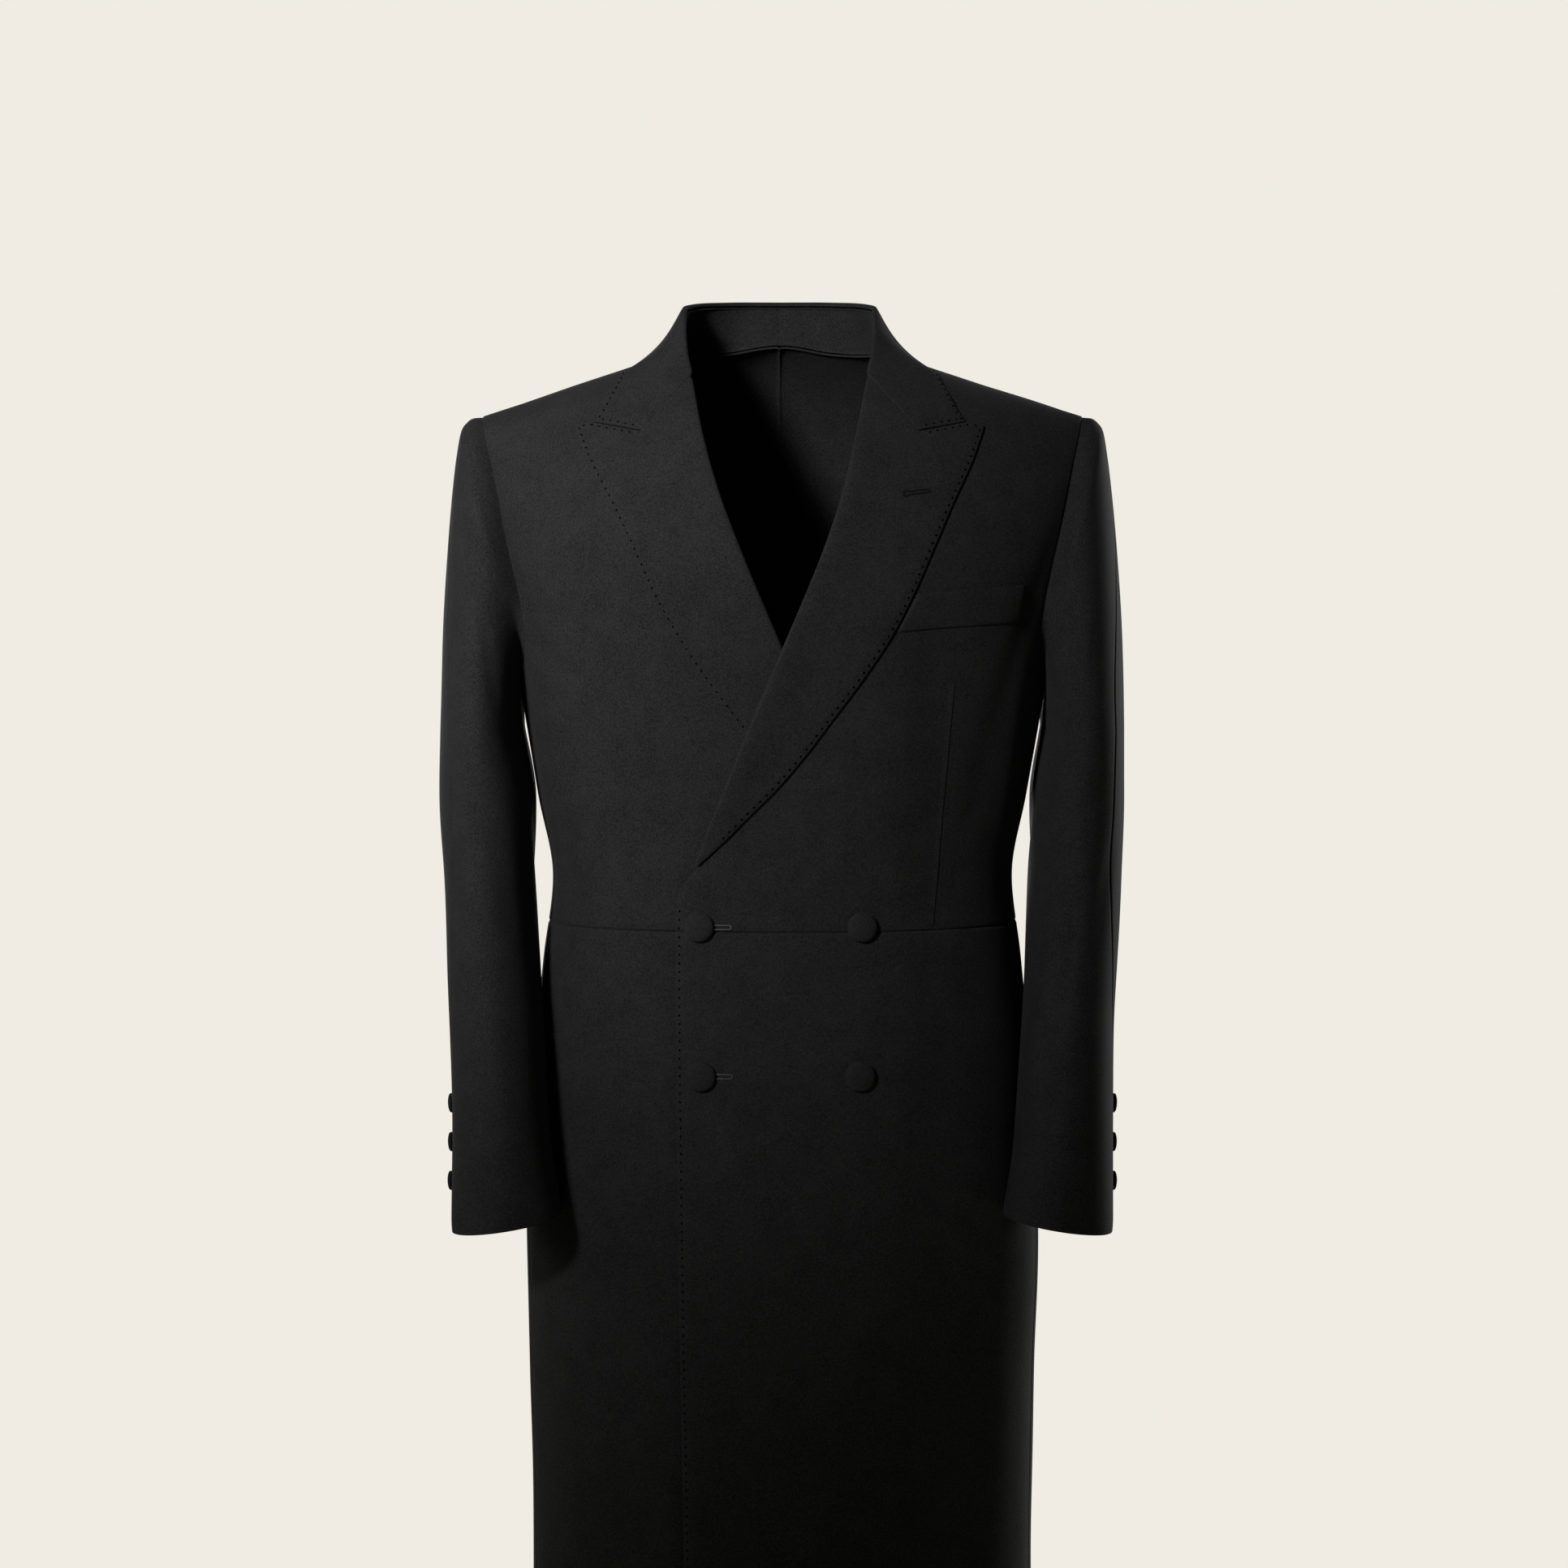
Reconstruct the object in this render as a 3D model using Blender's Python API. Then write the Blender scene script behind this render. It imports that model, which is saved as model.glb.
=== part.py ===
"""A long double-breasted frock coat with peaked lapels, in the hollow form it has when worn.

Metres, +Z up. The front faces -Y and the wearer's left is +X. The origin is the middle of the neck
opening, level with the side neck points, where the wearer carries the coat. Each piece that a maker
cuts is one closed wall of cloth, and neighbours stay SEAM_GAP apart.
"""

from collections import namedtuple

import bmesh
import bpy
import numpy as np

CLOTH = 0.0020  # wall of the body and sleeve cloth
LEAF = 0.0024  # wall of the lapels and the collar leaf, which are two cloths and canvas
SEAM_GAP = 0.0003
LAYER_GAP = 0.0013  # between a lapel and the forepart that it lies on

# The body of the coat. A level is a place up a panel: a level of 0 is the chest, each whole level
# below it is LEVEL_STEP metres, and levels 0 to 1 climb a quarter ellipse over the shoulder.
CHEST_HEIGHT = -0.200
LEVEL_STEP = 0.25
WAIST_SEAM = -0.450
HEM = -1.140
MIDDLE_Y = 0.010  # the shoulder seam, seen from the side
SQUARENESS = 2.3  # of each ring, where 2 would be an ellipse
SHOULDER_TOP = 0.0174  # height at which both shoulder lines would meet over the neck
SHOULDER_SLOPE = 0.33
SHOULDER_BLEND = 0.020

Ring = namedtuple("Ring", "level half_width front back")
Flute = namedtuple("Flute", "turn spread depth")
Place = namedtuple("Place", "height x")
Turn = namedtuple("Turn", "height turn")
Armhole = namedtuple("Armhole", "round turn level")
Sleeve = namedtuple("Sleeve", "height outer_x inner_x middle_y half_depth")
Cap = namedtuple("Cap", "along out down")
Row = namedtuple("Row", "share height")
Seam = namedtuple("Seam", "along round")
Crease = namedtuple("Crease", "along x y z")
OverPlace = namedtuple("OverPlace", "along x over")


def below_chest(height):
    return (height - CHEST_HEIGHT) / LEVEL_STEP


RINGS = (
    Ring(below_chest(HEM), 0.1945, 0.134, 0.130),
    Ring(below_chest(-0.950), 0.1945, 0.132, 0.131),
    Ring(below_chest(-0.800), 0.1970, 0.130, 0.134),
    Ring(below_chest(-0.690), 0.1998, 0.128, 0.135),
    Ring(below_chest(-0.580), 0.1950, 0.125, 0.128),
    Ring(below_chest(-0.480), 0.1860, 0.119, 0.108),
    Ring(below_chest(-0.415), 0.1785, 0.117, 0.095),
    Ring(below_chest(-0.353), 0.1895, 0.121, 0.102),
    Ring(below_chest(-0.300), 0.1985, 0.127, 0.113),
    Ring(below_chest(-0.240), 0.2090, 0.132, 0.121),
    Ring(0.00, 0.2190, 0.135, 0.125),
    Ring(0.25, 0.2335, 0.136, 0.125),
    Ring(0.50, 0.2425, 0.136, 0.124),
    Ring(0.75, 0.2495, 0.136, 0.124),
    Ring(1.00, 0.2520, 0.136, 0.124),
)

# Soft folds of the skirts, at these turns on either side, as deep as this at the hem.
FLUTES = (
    Flute(103.0, 10.0, 0.0060),
    Flute(123.0, 9.0, -0.0040),
    Flute(146.0, 10.0, 0.0065),
)
FLUTE_TOP = -0.560

# The front edge as it is seen, from the hem up to the break of the lapel, and from there the fold
# of the lapel up to the collar. Distances are from the centre line towards the piece's own side.
FRONT_EDGE = (
    Place(HEM, -0.0715),
    Place(-0.950, -0.0745),
    Place(-0.750, -0.0780),
    Place(-0.560, -0.0803),
    Place(-0.443, -0.0809),
    Place(-0.426, -0.0796),
    Place(-0.415, -0.0753),
    Place(-0.406, -0.0705),
    Place(-0.398, -0.0668),
    Place(-0.344, -0.0455),
    Place(-0.295, -0.0263),
    Place(-0.234, -0.0010),
    Place(-0.149, 0.0344),
    Place(-0.112, 0.0470),
    Place(-0.067, 0.0584),
    Place(-0.027, 0.0666),
    Place(0.013, 0.0756),
)
LAPEL_EDGE = (
    Place(-0.402, -0.0668),
    Place(-0.394, -0.0578),
    Place(-0.381, -0.0441),
    Place(-0.362, -0.0257),
    Place(-0.341, -0.0049),
    Place(-0.314, 0.0178),
    Place(-0.287, 0.0380),
    Place(-0.254, 0.0625),
    Place(-0.222, 0.0834),
    Place(-0.190, 0.1007),
    Place(-0.154, 0.1170),
    Place(-0.124, 0.1308),
    Place(-0.092, 0.1468),
    Place(-0.0635, 0.1577),
)
LAPEL_FOOT = -0.394
GORGE_START = Place(-0.0280, 0.0694)
GORGE_MIDDLE = Place(-0.0485, 0.0885)
NOTCH = Place(-0.0690, 0.1067)
COLLAR_CORNER = Place(-0.0623, 0.1427)
PEAK_TIP = Place(-0.0635, 0.1577)
CORNER_SHARES = (0, 0.25, 0.5, 0.86, 1)  # of the lapel's columns, where its top edge turns
NOTCH_GAP = 0.0006  # between the lapel's top edge and the collar's end
# Heights of a panel's rows, at these shares of the way up it.
FOREPART_ROWS = (
    Row(0.00, WAIST_SEAM + SEAM_GAP / 2),
    Row(0.15, -0.4040),
    Row(0.28, -0.3450),
    Row(0.62, -0.1500),
    Row(1.00, -0.0385),
)
LAPEL_ROWS = (
    Row(0.00, LAPEL_FOOT),
    Row(0.12, -0.3720),
    Row(0.60, -0.1600),
    Row(1.00, GORGE_START.height),
)
LAPEL_EDGE_ROWS = (
    Row(0.00, LAPEL_FOOT),
    Row(0.12, -0.3720),
    Row(0.60, -0.1750),
    Row(1.00, PEAK_TIP.height),
)
FOLD_RADIUS = 0.0026
FOLD_SHIFT = 0.0028  # from the seen edge of the fold to its axis
FOREPART_SHIFT = 0.0048  # from the seen edge to the forepart's own edge inside the fold
GORGE_SHIFT = 0.0050  # and this much more where the lapel meets the collar
FOLD_LEG = 0.0010
SHOULDER_POINT_X = 0.2335
SHOULDER_TRIM = 0.002  # of a level, off each panel's edge at the shoulder seam

SIDE_SEAM_TURN = 80.7
HALF_SEAM = 0.055  # half of SEAM_GAP in degrees of turn, at the coat's side
BACK_SEAM = (
    Turn(HEM, 138.0),
    Turn(-0.700, 140.0),
    Turn(-0.500, 145.0),
    Turn(-0.450, 147.0),
    Turn(-0.400, 145.5),
    Turn(-0.340, 138.0),
    Turn(-0.280, 128.0),
    Turn(-0.218, 116.0),
)
VENT_TOP = -0.472
VENT_FULL = -0.507
VENT_LAP = 0.035

ARMHOLE = (
    Armhole(0.00, 67.9, 1.00),
    Armhole(0.10, 67.5, 0.60),
    Armhole(0.20, 66.7, 0.30),
    Armhole(0.30, 66.9, 0.08),
    Armhole(0.36, 67.6, -0.04),
    Armhole(0.42, 70.9, -0.152),
    Armhole(0.46, 78.0, -0.224),
    Armhole(0.50, 90.0, -0.252),
    Armhole(0.54, 101.0, -0.228),
    Armhole(0.59, 110.5, -0.150),
    Armhole(0.65, 116.5, -0.030),
    Armhole(0.72, 118.5, 0.10),
    Armhole(0.82, 117.5, 0.32),
    Armhole(0.91, 115.0, 0.62),
    Armhole(1.00, 112.1, 1.00),
)
SIDE_SEAM_ROUND = 0.470  # where the side seam meets the armhole
BACK_SEAM_ROUND = 0.630  # where the back seam meets it

SLEEVES = (
    Sleeve(-0.680, 0.2530, 0.1660, -0.088, 0.052),
    Sleeve(-0.620, 0.2533, 0.1768, -0.072, 0.058),
    Sleeve(-0.540, 0.2554, 0.1830, -0.047, 0.065),
    Sleeve(-0.480, 0.2590, 0.1875, -0.022, 0.070),
    Sleeve(-0.420, 0.2626, 0.1906, -0.002, 0.075),
    Sleeve(-0.353, 0.2662, 0.1918, 0.010, 0.081),
    Sleeve(-0.300, 0.2655, 0.2005, 0.013, 0.088),
)
CAP_END = -0.300
CUFF_HEIGHT = -0.6745
CUFF_SLANT = 0.0065  # the cuff is this much lower outside, and higher next to the body
ARM_MIDDLE = np.array((0.235, 0.012, -0.170))  # of the arm, inside the sleeve head
CAP_LENGTH = 0.38  # share of the sleeve's rows that lies over the shoulder
CAP = (
    Cap(0.00, 0.00, 0.00),
    Cap(0.08, 0.26, 0.010),
    Cap(0.18, 0.45, 0.035),
    Cap(0.32, 0.58, 0.120),
    Cap(0.48, 0.70, 0.250),
    Cap(0.65, 0.82, 0.430),
    Cap(0.82, 0.94, 0.690),
    Cap(1.00, 1.00, 1.000),
)
HIND_SEAM = (
    Seam(0.00, -0.160),
    Seam(0.14, -0.040),
    Seam(0.28, 0.090),
    Seam(0.36, 0.125),
    Seam(0.50, 0.130),
    Seam(0.70, 0.080),
    Seam(0.86, -0.020),
    Seam(1.00, -0.060),
)
FORE_SEAM = (
    Seam(0.00, 0.430),
    Seam(0.14, 0.470),
    Seam(0.28, 0.530),
    Seam(0.36, 0.560),
    Seam(0.50, 0.570),
    Seam(0.70, 0.550),
    Seam(0.86, 0.490),
    Seam(1.00, 0.460),
)
SLEEVE_CLEARANCE = 0.0024  # from the body that the sleeve hangs against
SLEEVE_SEAM_GAP = 0.0013

# How far the wearer's left front, which is on top, stands out over what it covers.
LAP_LIFT = 0.0030
LAPEL_LIFT = 0.0032

# Places near the shoulder are given by x and by how far over it they are: 0 is the chest in front,
# 1 the shoulder line and 2 the chest height behind. Shares of the way run from the centre back to
# the collar's front end.
NECK_SEAM = (
    OverPlace(0.00, 0.0000, 1.240),
    OverPlace(0.14, 0.0300, 1.232),
    OverPlace(0.28, 0.0590, 1.180),
    OverPlace(0.40, 0.0760, 1.090),
    OverPlace(0.48, 0.0810, 1.000),
    OverPlace(0.60, 0.0800, 0.900),
    OverPlace(0.70, 0.0765, 0.815),
)
NECK_POINT_ALONG = 0.48
GORGE_ALONG = 0.70  # where the forepart's neck edge ends
CREASE = (
    Crease(0.00, 0.0000, 0.0630, 0.0285),
    Crease(0.14, 0.0290, 0.0585, 0.0285),
    Crease(0.28, 0.0545, 0.0440, 0.0280),
    Crease(0.40, 0.0700, 0.0240, 0.0265),
    Crease(0.50, 0.0755, 0.0040, 0.0240),
    Crease(0.60, 0.0752, -0.0150, 0.0110),
    Crease(0.70, 0.0730, -0.0350, -0.0085),
)
# How far the leaf's middle stands out of straight: it bows a little at the back and dips on its way
# down to each shoulder.
LEAF_BOW = (
    Seam(0.00, 0.0020),
    Seam(0.20, 0.0012),
    Seam(0.36, -0.0030),
    Seam(0.50, -0.0046),
    Seam(0.62, -0.0030),
    Seam(0.78, 0.0000),
    Seam(1.00, 0.0000),
)
CREASE_ON_CHEST = (
    OverPlace(0.78, 0.0694, 0.700),
    OverPlace(0.82, 0.0725, 0.687),
    OverPlace(0.91, 0.0885, 0.606),
    OverPlace(1.00, 0.1075, 0.528),
)
LEAF_EDGE = (
    OverPlace(0.00, 0.0000, 1.380),
    OverPlace(0.14, 0.0420, 1.350),
    OverPlace(0.28, 0.0840, 1.280),
    OverPlace(0.40, 0.1090, 1.170),
    OverPlace(0.50, 0.1170, 1.020),
    OverPlace(0.60, 0.1225, 0.850),
    OverPlace(0.70, 0.1277, 0.757),
    OverPlace(0.78, 0.1325, 0.695),
    OverPlace(0.82, 0.1345, 0.670),
    OverPlace(0.91, 0.1385, 0.630),
    OverPlace(1.00, 0.1427, 0.612),
)
STAND_END = 0.62
COLLAR_ROWS = np.array((0, 0.08, 0.16, 0.24, 0.32, 0.40, 0.47, 0.54, 0.62, 0.70, 0.78, 0.80, 0.90, 1))
LEAF_COLUMNS = 5

WELT_TOP = (Place(-0.1928, 0.1010), Place(-0.1872, 0.1852))
WELT_FOOT = (Place(-0.2216, 0.0850), Place(-0.2164, 0.1809))
WELT_WALL = 0.0014
WELT_LIFT = 0.0007

FRONT_BUTTON_RADIUS = 0.0115
FRONT_BUTTON_HEIGHT = 0.0062
FRONT_BUTTONS = {
    "button_upper_outer": Place(-0.4460, -0.0625),
    "button_upper_inner": Place(-0.4460, 0.0600),
    "button_lower_outer": Place(-0.5593, -0.0612),
    "button_lower_inner": Place(-0.5593, 0.0585),
}
CUFF_BUTTON_RADIUS = 0.0075
CUFF_BUTTON_HEIGHT = 0.0036
CUFF_BUTTON_ALONG = (0.846, 0.893, 0.940)  # down the sleeve's rows
CUFF_BUTTON_ROUND = -0.022
BUTTON_GAP = 0.0002
NEARLY_EQUAL = 1.001  # a diagonal this much longer still counts as the shorter one

WOOL = (0.0070, 0.0070, 0.0078, 1.0)
BUTTON_CLOTH = (0.0085, 0.0085, 0.0095, 1.0)


def smooth(at, places, values):
    """A cubic curve through the values that never overshoots them (harmonic mean slopes)."""
    places = np.asarray(places, float)
    values = np.asarray(values, float)
    at = np.clip(at, places[0], places[-1])
    steps = np.diff(places)
    slopes = np.diff(values) / steps
    tangents = np.zeros_like(values)
    tangents[0] = slopes[0]
    tangents[-1] = slopes[-1]
    same_way = slopes[:-1] * slopes[1:] > 0
    product = 2 * slopes[:-1] * slopes[1:]
    total = slopes[:-1] + slopes[1:]
    np.divide(product, total, out=tangents[1:-1], where=same_way)
    cell = np.clip(np.searchsorted(places, at, side="right") - 1, 0, len(steps) - 1)
    t = (at - places[cell]) / steps[cell]
    start = (1 + 2 * t) * (1 - t) ** 2 * values[cell]
    leaving = t * (1 - t) ** 2 * steps[cell] * tangents[cell]
    end = t**2 * (3 - 2 * t) * values[cell + 1]
    arriving = t**2 * (t - 1) * steps[cell] * tangents[cell + 1]
    return start + leaving + end + arriving


def read(rows, column, at, by):
    """A table's column at places given in another column."""
    return smooth(at, [getattr(row, by) for row in rows], [getattr(row, column) for row in rows])


def ease(value, start, end):
    """0 at start, 1 at end, with level ends."""
    t = np.clip((np.asarray(value, float) - start) / (end - start), 0, 1)
    return t * t * (3 - 2 * t)


def unit(vectors):
    return vectors / np.linalg.norm(vectors, axis=-1, keepdims=True)


def shoulder_height(x):
    return SHOULDER_TOP - SHOULDER_SLOPE * np.hypot(x, SHOULDER_BLEND)


def flute_depth(turn, level):
    """How far the skirts' folds stand out there: nothing at FLUTE_TOP, and more and more below."""
    fall = np.clip((FLUTE_TOP - CHEST_HEIGHT - LEVEL_STEP * level) / (FLUTE_TOP - HEM), 0, 1)
    waves = [row.depth * np.exp(-(((turn - row.turn) / row.spread) ** 2)) for row in FLUTES]
    return sum(waves) * fall**1.5


def body(turn, level):
    """A point of the coat's outer surface. Turn is degrees round it: 0 centre front, 90 the side,
    180 centre back. Each level is a superellipse, and above the chest it closes as a quarter ellipse."""
    turn, level = np.broadcast_arrays(np.asarray(turn, float), np.asarray(level, float))
    angle = np.radians(turn)
    flute = flute_depth(turn, level)
    x = (read(RINGS, "half_width", level, "level") + flute) * np.sin(angle)
    forward = read(RINGS, "front", level, "level")
    backward = read(RINGS, "back", level, "level") + flute
    depth = np.clip(1 - np.abs(np.sin(angle)) ** SQUARENESS, 0, None) ** (1 / SQUARENESS)
    climb = np.clip(level, 0, 1) * np.pi / 2
    closing = np.cos(climb)
    y = MIDDLE_Y + np.where(np.cos(angle) > 0, -forward, backward) * depth * closing
    rise = (shoulder_height(x) - CHEST_HEIGHT) * np.sin(climb)
    z = CHEST_HEIGHT + LEVEL_STEP * np.minimum(level, 0) + rise
    return np.stack([x, y, z], axis=-1)


def body_normal(turn, level):
    """The outward direction there, from two short steps on the surface."""
    turn, level = np.broadcast_arrays(np.asarray(turn, float), np.asarray(level, float))
    small = 1e-3
    level = np.minimum(level, 1 - small)
    round_step = body(turn + small * 50, level) - body(turn - small * 50, level)
    up_step = body(turn, level + small) - body(turn, level - small)
    return unit(np.cross(round_step, up_step))


def front_place(x, height):
    """The turn and level of a place in the front view."""
    x, height = np.broadcast_arrays(np.asarray(x, float), np.asarray(height, float))
    climb = (height - CHEST_HEIGHT) / (shoulder_height(x) - CHEST_HEIGHT)
    over = np.arcsin(np.clip(climb, 0, 1)) * 2 / np.pi
    level = np.where(climb > 0, over, below_chest(height))
    half_width = read(RINGS, "half_width", level, "level")
    return np.stack([np.degrees(np.arcsin(np.clip(x / half_width, -1, 1))), level], axis=-1)


def top_lift(points):
    """How far the wearer's left front stands out: over the right front where they lap, and more
    over the hidden foot of the right lapel."""
    x, height = points[..., 0], points[..., 2]
    lap = LAP_LIFT * (1 - ease(x, 0.086, 0.125))
    lapel_rows = ease(height, -0.440, -0.405)
    lapel = LAPEL_LIFT * (1 - ease(x, 0.070, 0.115)) * lapel_rows
    return (lap + lapel) * (1 - ease(height, -0.222, -0.160))


def on_body(places, side, offset, lifted=True):
    """Points at these turns and levels, moved out along the surface's normal. Side is 1 for the
    wearer's left, which takes the lift of the top layer, and -1 for the right."""
    points = body(places[..., 0], places[..., 1])
    normals = body_normal(places[..., 0], places[..., 1])
    out = np.broadcast_to(np.asarray(offset, float), points.shape[:-1])
    if side > 0 and lifted:
        front = np.cos(np.radians(places[..., 0])) > 0
        out = out + np.where(front, top_lift(points), 0)
    return (points + normals * out[..., None]) * (side, 1, 1)


def patch(inner, outer, lower, upper, across, up):
    """A four-sided panel's turns and levels: its four edges blended across both ways."""
    u = across[None, :, None]
    v = up[:, None, None]
    sideways = (1 - u) * inner[:, None] + u * outer[:, None]
    upwards = (1 - v) * lower[None] + v * upper[None]
    low_corners = (1 - u) * lower[0] + u * lower[-1]
    high_corners = (1 - u) * upper[0] + u * upper[-1]
    return sideways + upwards - (1 - v) * low_corners - v * high_corners


def over_place(x, over):
    """The turn and level of a place given by x and by how far over the shoulder it is."""
    x, over = np.broadcast_arrays(np.asarray(x, float), np.asarray(over, float))
    level = 1 - np.abs(over - 1)
    half_width = read(RINGS, "half_width", level, "level")
    turn = np.degrees(np.arcsin(np.clip(x / half_width, -1, 1)))
    return np.stack([np.where(over > 1, 180 - turn, turn), level], axis=-1)


def neck_seam(along):
    return over_place(read(NECK_SEAM, "x", along, "along"), read(NECK_SEAM, "over", along, "along"))


def shares(count):
    return np.linspace(0, 1, count + 1)


def line(start, end, at):
    """Places on a straight line between two turn and level pairs."""
    return np.asarray(start) + at[:, None] * (np.asarray(end) - np.asarray(start))


def make_material(name, colour, roughness):
    material = bpy.data.materials.new(name)
    material.use_nodes = True
    shader = material.node_tree.nodes["Principled BSDF"]
    shader.inputs["Base Color"].default_value = colour
    shader.inputs["Roughness"].default_value = roughness
    shader.inputs["Metallic"].default_value = 0.0
    return material


def make_object(name, points, faces, colour=WOOL, roughness=0.9, sharp=40):
    mesh = bpy.data.meshes.new(name)
    mesh.from_pydata(points.reshape(-1, 3).tolist(), [], faces)
    work = bmesh.new()
    work.from_mesh(mesh)
    bmesh.ops.recalc_face_normals(work, faces=work.faces)
    work.to_mesh(mesh)
    work.free()
    mesh.shade_smooth()
    mesh.set_sharp_from_angle(angle=np.radians(sharp))
    mesh.materials.append(make_material(name, colour, roughness))
    made = bpy.data.objects.new(name, mesh)
    bpy.context.scene.collection.objects.link(made)


def grid_triangles(points):
    """Triangles of a grid of points. Each quad is cut along its shorter diagonal, which is the same
    one on both sides of the coat."""
    index = np.arange(points.shape[0] * points.shape[1]).reshape(points.shape[:2])
    a, b, c, d = index[:-1, :-1], index[:-1, 1:], index[1:, 1:], index[1:, :-1]
    flat = points.reshape(-1, 3)
    rising = np.linalg.norm(flat[a] - flat[c], axis=-1)
    falling = np.linalg.norm(flat[b] - flat[d], axis=-1)
    rises = (rising <= falling * NEARLY_EQUAL)[..., None]
    first = np.where(rises, np.stack([a, b, c], axis=-1), np.stack([a, b, d], axis=-1))
    second = np.where(rises, np.stack([a, c, d], axis=-1), np.stack([b, c, d], axis=-1))
    return np.concatenate([first.reshape(-1, 3), second.reshape(-1, 3)])


def rim_faces(rows, columns):
    """Quads that join the outer and the inner grid all round their edge."""
    index = np.arange(rows * columns).reshape(rows, columns)
    ring = np.concatenate([index[0, :-1], index[:-1, -1], index[-1, :0:-1], index[:0:-1, 0]])
    after = np.roll(ring, -1)
    under = rows * columns
    return np.stack([ring, ring + under, after + under, after], axis=-1).tolist()


def make_wall(name, outer, inner):
    """One closed piece of cloth from the points of its two faces, which are cut into triangles
    alike, so that the wall stays as thick inside them as at their corners."""
    rows, columns = outer.shape[:2]
    points = np.concatenate([outer.reshape(-1, 3), inner.reshape(-1, 3)])
    upper = grid_triangles(outer)
    under = upper[:, ::-1] + rows * columns
    make_object(name, points, upper.tolist() + under.tolist() + rim_faces(rows, columns))


def side_name(side):
    return "left" if side > 0 else "right"


def make_panel(name, places, side):
    make_wall(name, on_body(places, side, 0), on_body(places, side, -CLOTH))


def front_edge_x(height):
    return read(FRONT_EDGE, "x", height, "height")


def forepart_edge(height):
    """The forepart's own front edge, which starts inside the lapel's fold above the break."""
    shift = FOREPART_SHIFT * ease(height, LAPEL_FOOT - 0.014, LAPEL_FOOT - 0.003)
    shift = shift + GORGE_SHIFT * ease(height, PEAK_TIP.height - 0.012, FOREPART_ROWS[-1].height)
    return front_place(front_edge_x(height) + shift, height)


def armhole(round_share):
    turn = read(ARMHOLE, "turn", round_share, "round")
    level = read(ARMHOLE, "level", round_share, "round")
    return np.stack([turn, level], axis=-1)


def seam_levels(count):
    """Levels from just over the waist seam to where the back seam meets the armhole."""
    foot = below_chest(WAIST_SEAM + SEAM_GAP / 2)
    return foot + shares(count) * (armhole(np.array(BACK_SEAM_ROUND))[1] - foot)


def back_seam(levels, gap):
    heights = CHEST_HEIGHT + LEVEL_STEP * levels
    return np.stack([read(BACK_SEAM, "turn", heights, "height") + gap, levels], axis=-1)


def make_forepart(side):
    edge_rows, neck_rows, seam_rows = 17, 3, 9
    foot = FOREPART_ROWS[0].height
    edge = forepart_edge(read(FOREPART_ROWS, "height", shares(edge_rows), "share"))
    neck = neck_seam(GORGE_ALONG + shares(neck_rows)[1:] * (NECK_POINT_ALONG - GORGE_ALONG))
    inner = np.concatenate([edge, neck])
    seam_top = armhole(np.array(SIDE_SEAM_ROUND))[1]
    seam_turn = SIDE_SEAM_TURN - HALF_SEAM
    side_seam = line((seam_turn, below_chest(foot)), (seam_turn, seam_top), shares(seam_rows))
    arm_rows = edge_rows + neck_rows - seam_rows
    outer = np.concatenate([side_seam, armhole(SIDE_SEAM_ROUND * (1 - shares(arm_rows)[1:]))])
    across = shares(10)
    upper_x = read(NECK_SEAM, "x", NECK_POINT_ALONG, "along")
    upper = over_place(upper_x + across * (SHOULDER_POINT_X - upper_x), 1)
    inner[-1], outer[-1] = upper[0], upper[-1]
    lower = line(inner[0], outer[0], across)
    places = patch(inner, outer, lower, upper, across, shares(edge_rows + neck_rows))
    places[-1, :, 1] -= SHOULDER_TRIM
    make_panel("forepart_" + side_name(side), places, side)


def make_side_body(side):
    across = shares(6)
    up = shares(7)
    upper = armhole(SIDE_SEAM_ROUND + across * (BACK_SEAM_ROUND - SIDE_SEAM_ROUND))
    upper[0, 0] = SIDE_SEAM_TURN + HALF_SEAM
    outer = back_seam(seam_levels(7), -HALF_SEAM)
    outer[-1, 0] = upper[-1, 0] - HALF_SEAM
    upper[-1] = outer[-1]
    inner = line((upper[0, 0], outer[0, 1]), upper[0], up)
    lower = line(inner[0], outer[0], across)
    make_panel("side_body_" + side_name(side), patch(inner, outer, lower, upper, across, up), side)


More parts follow.
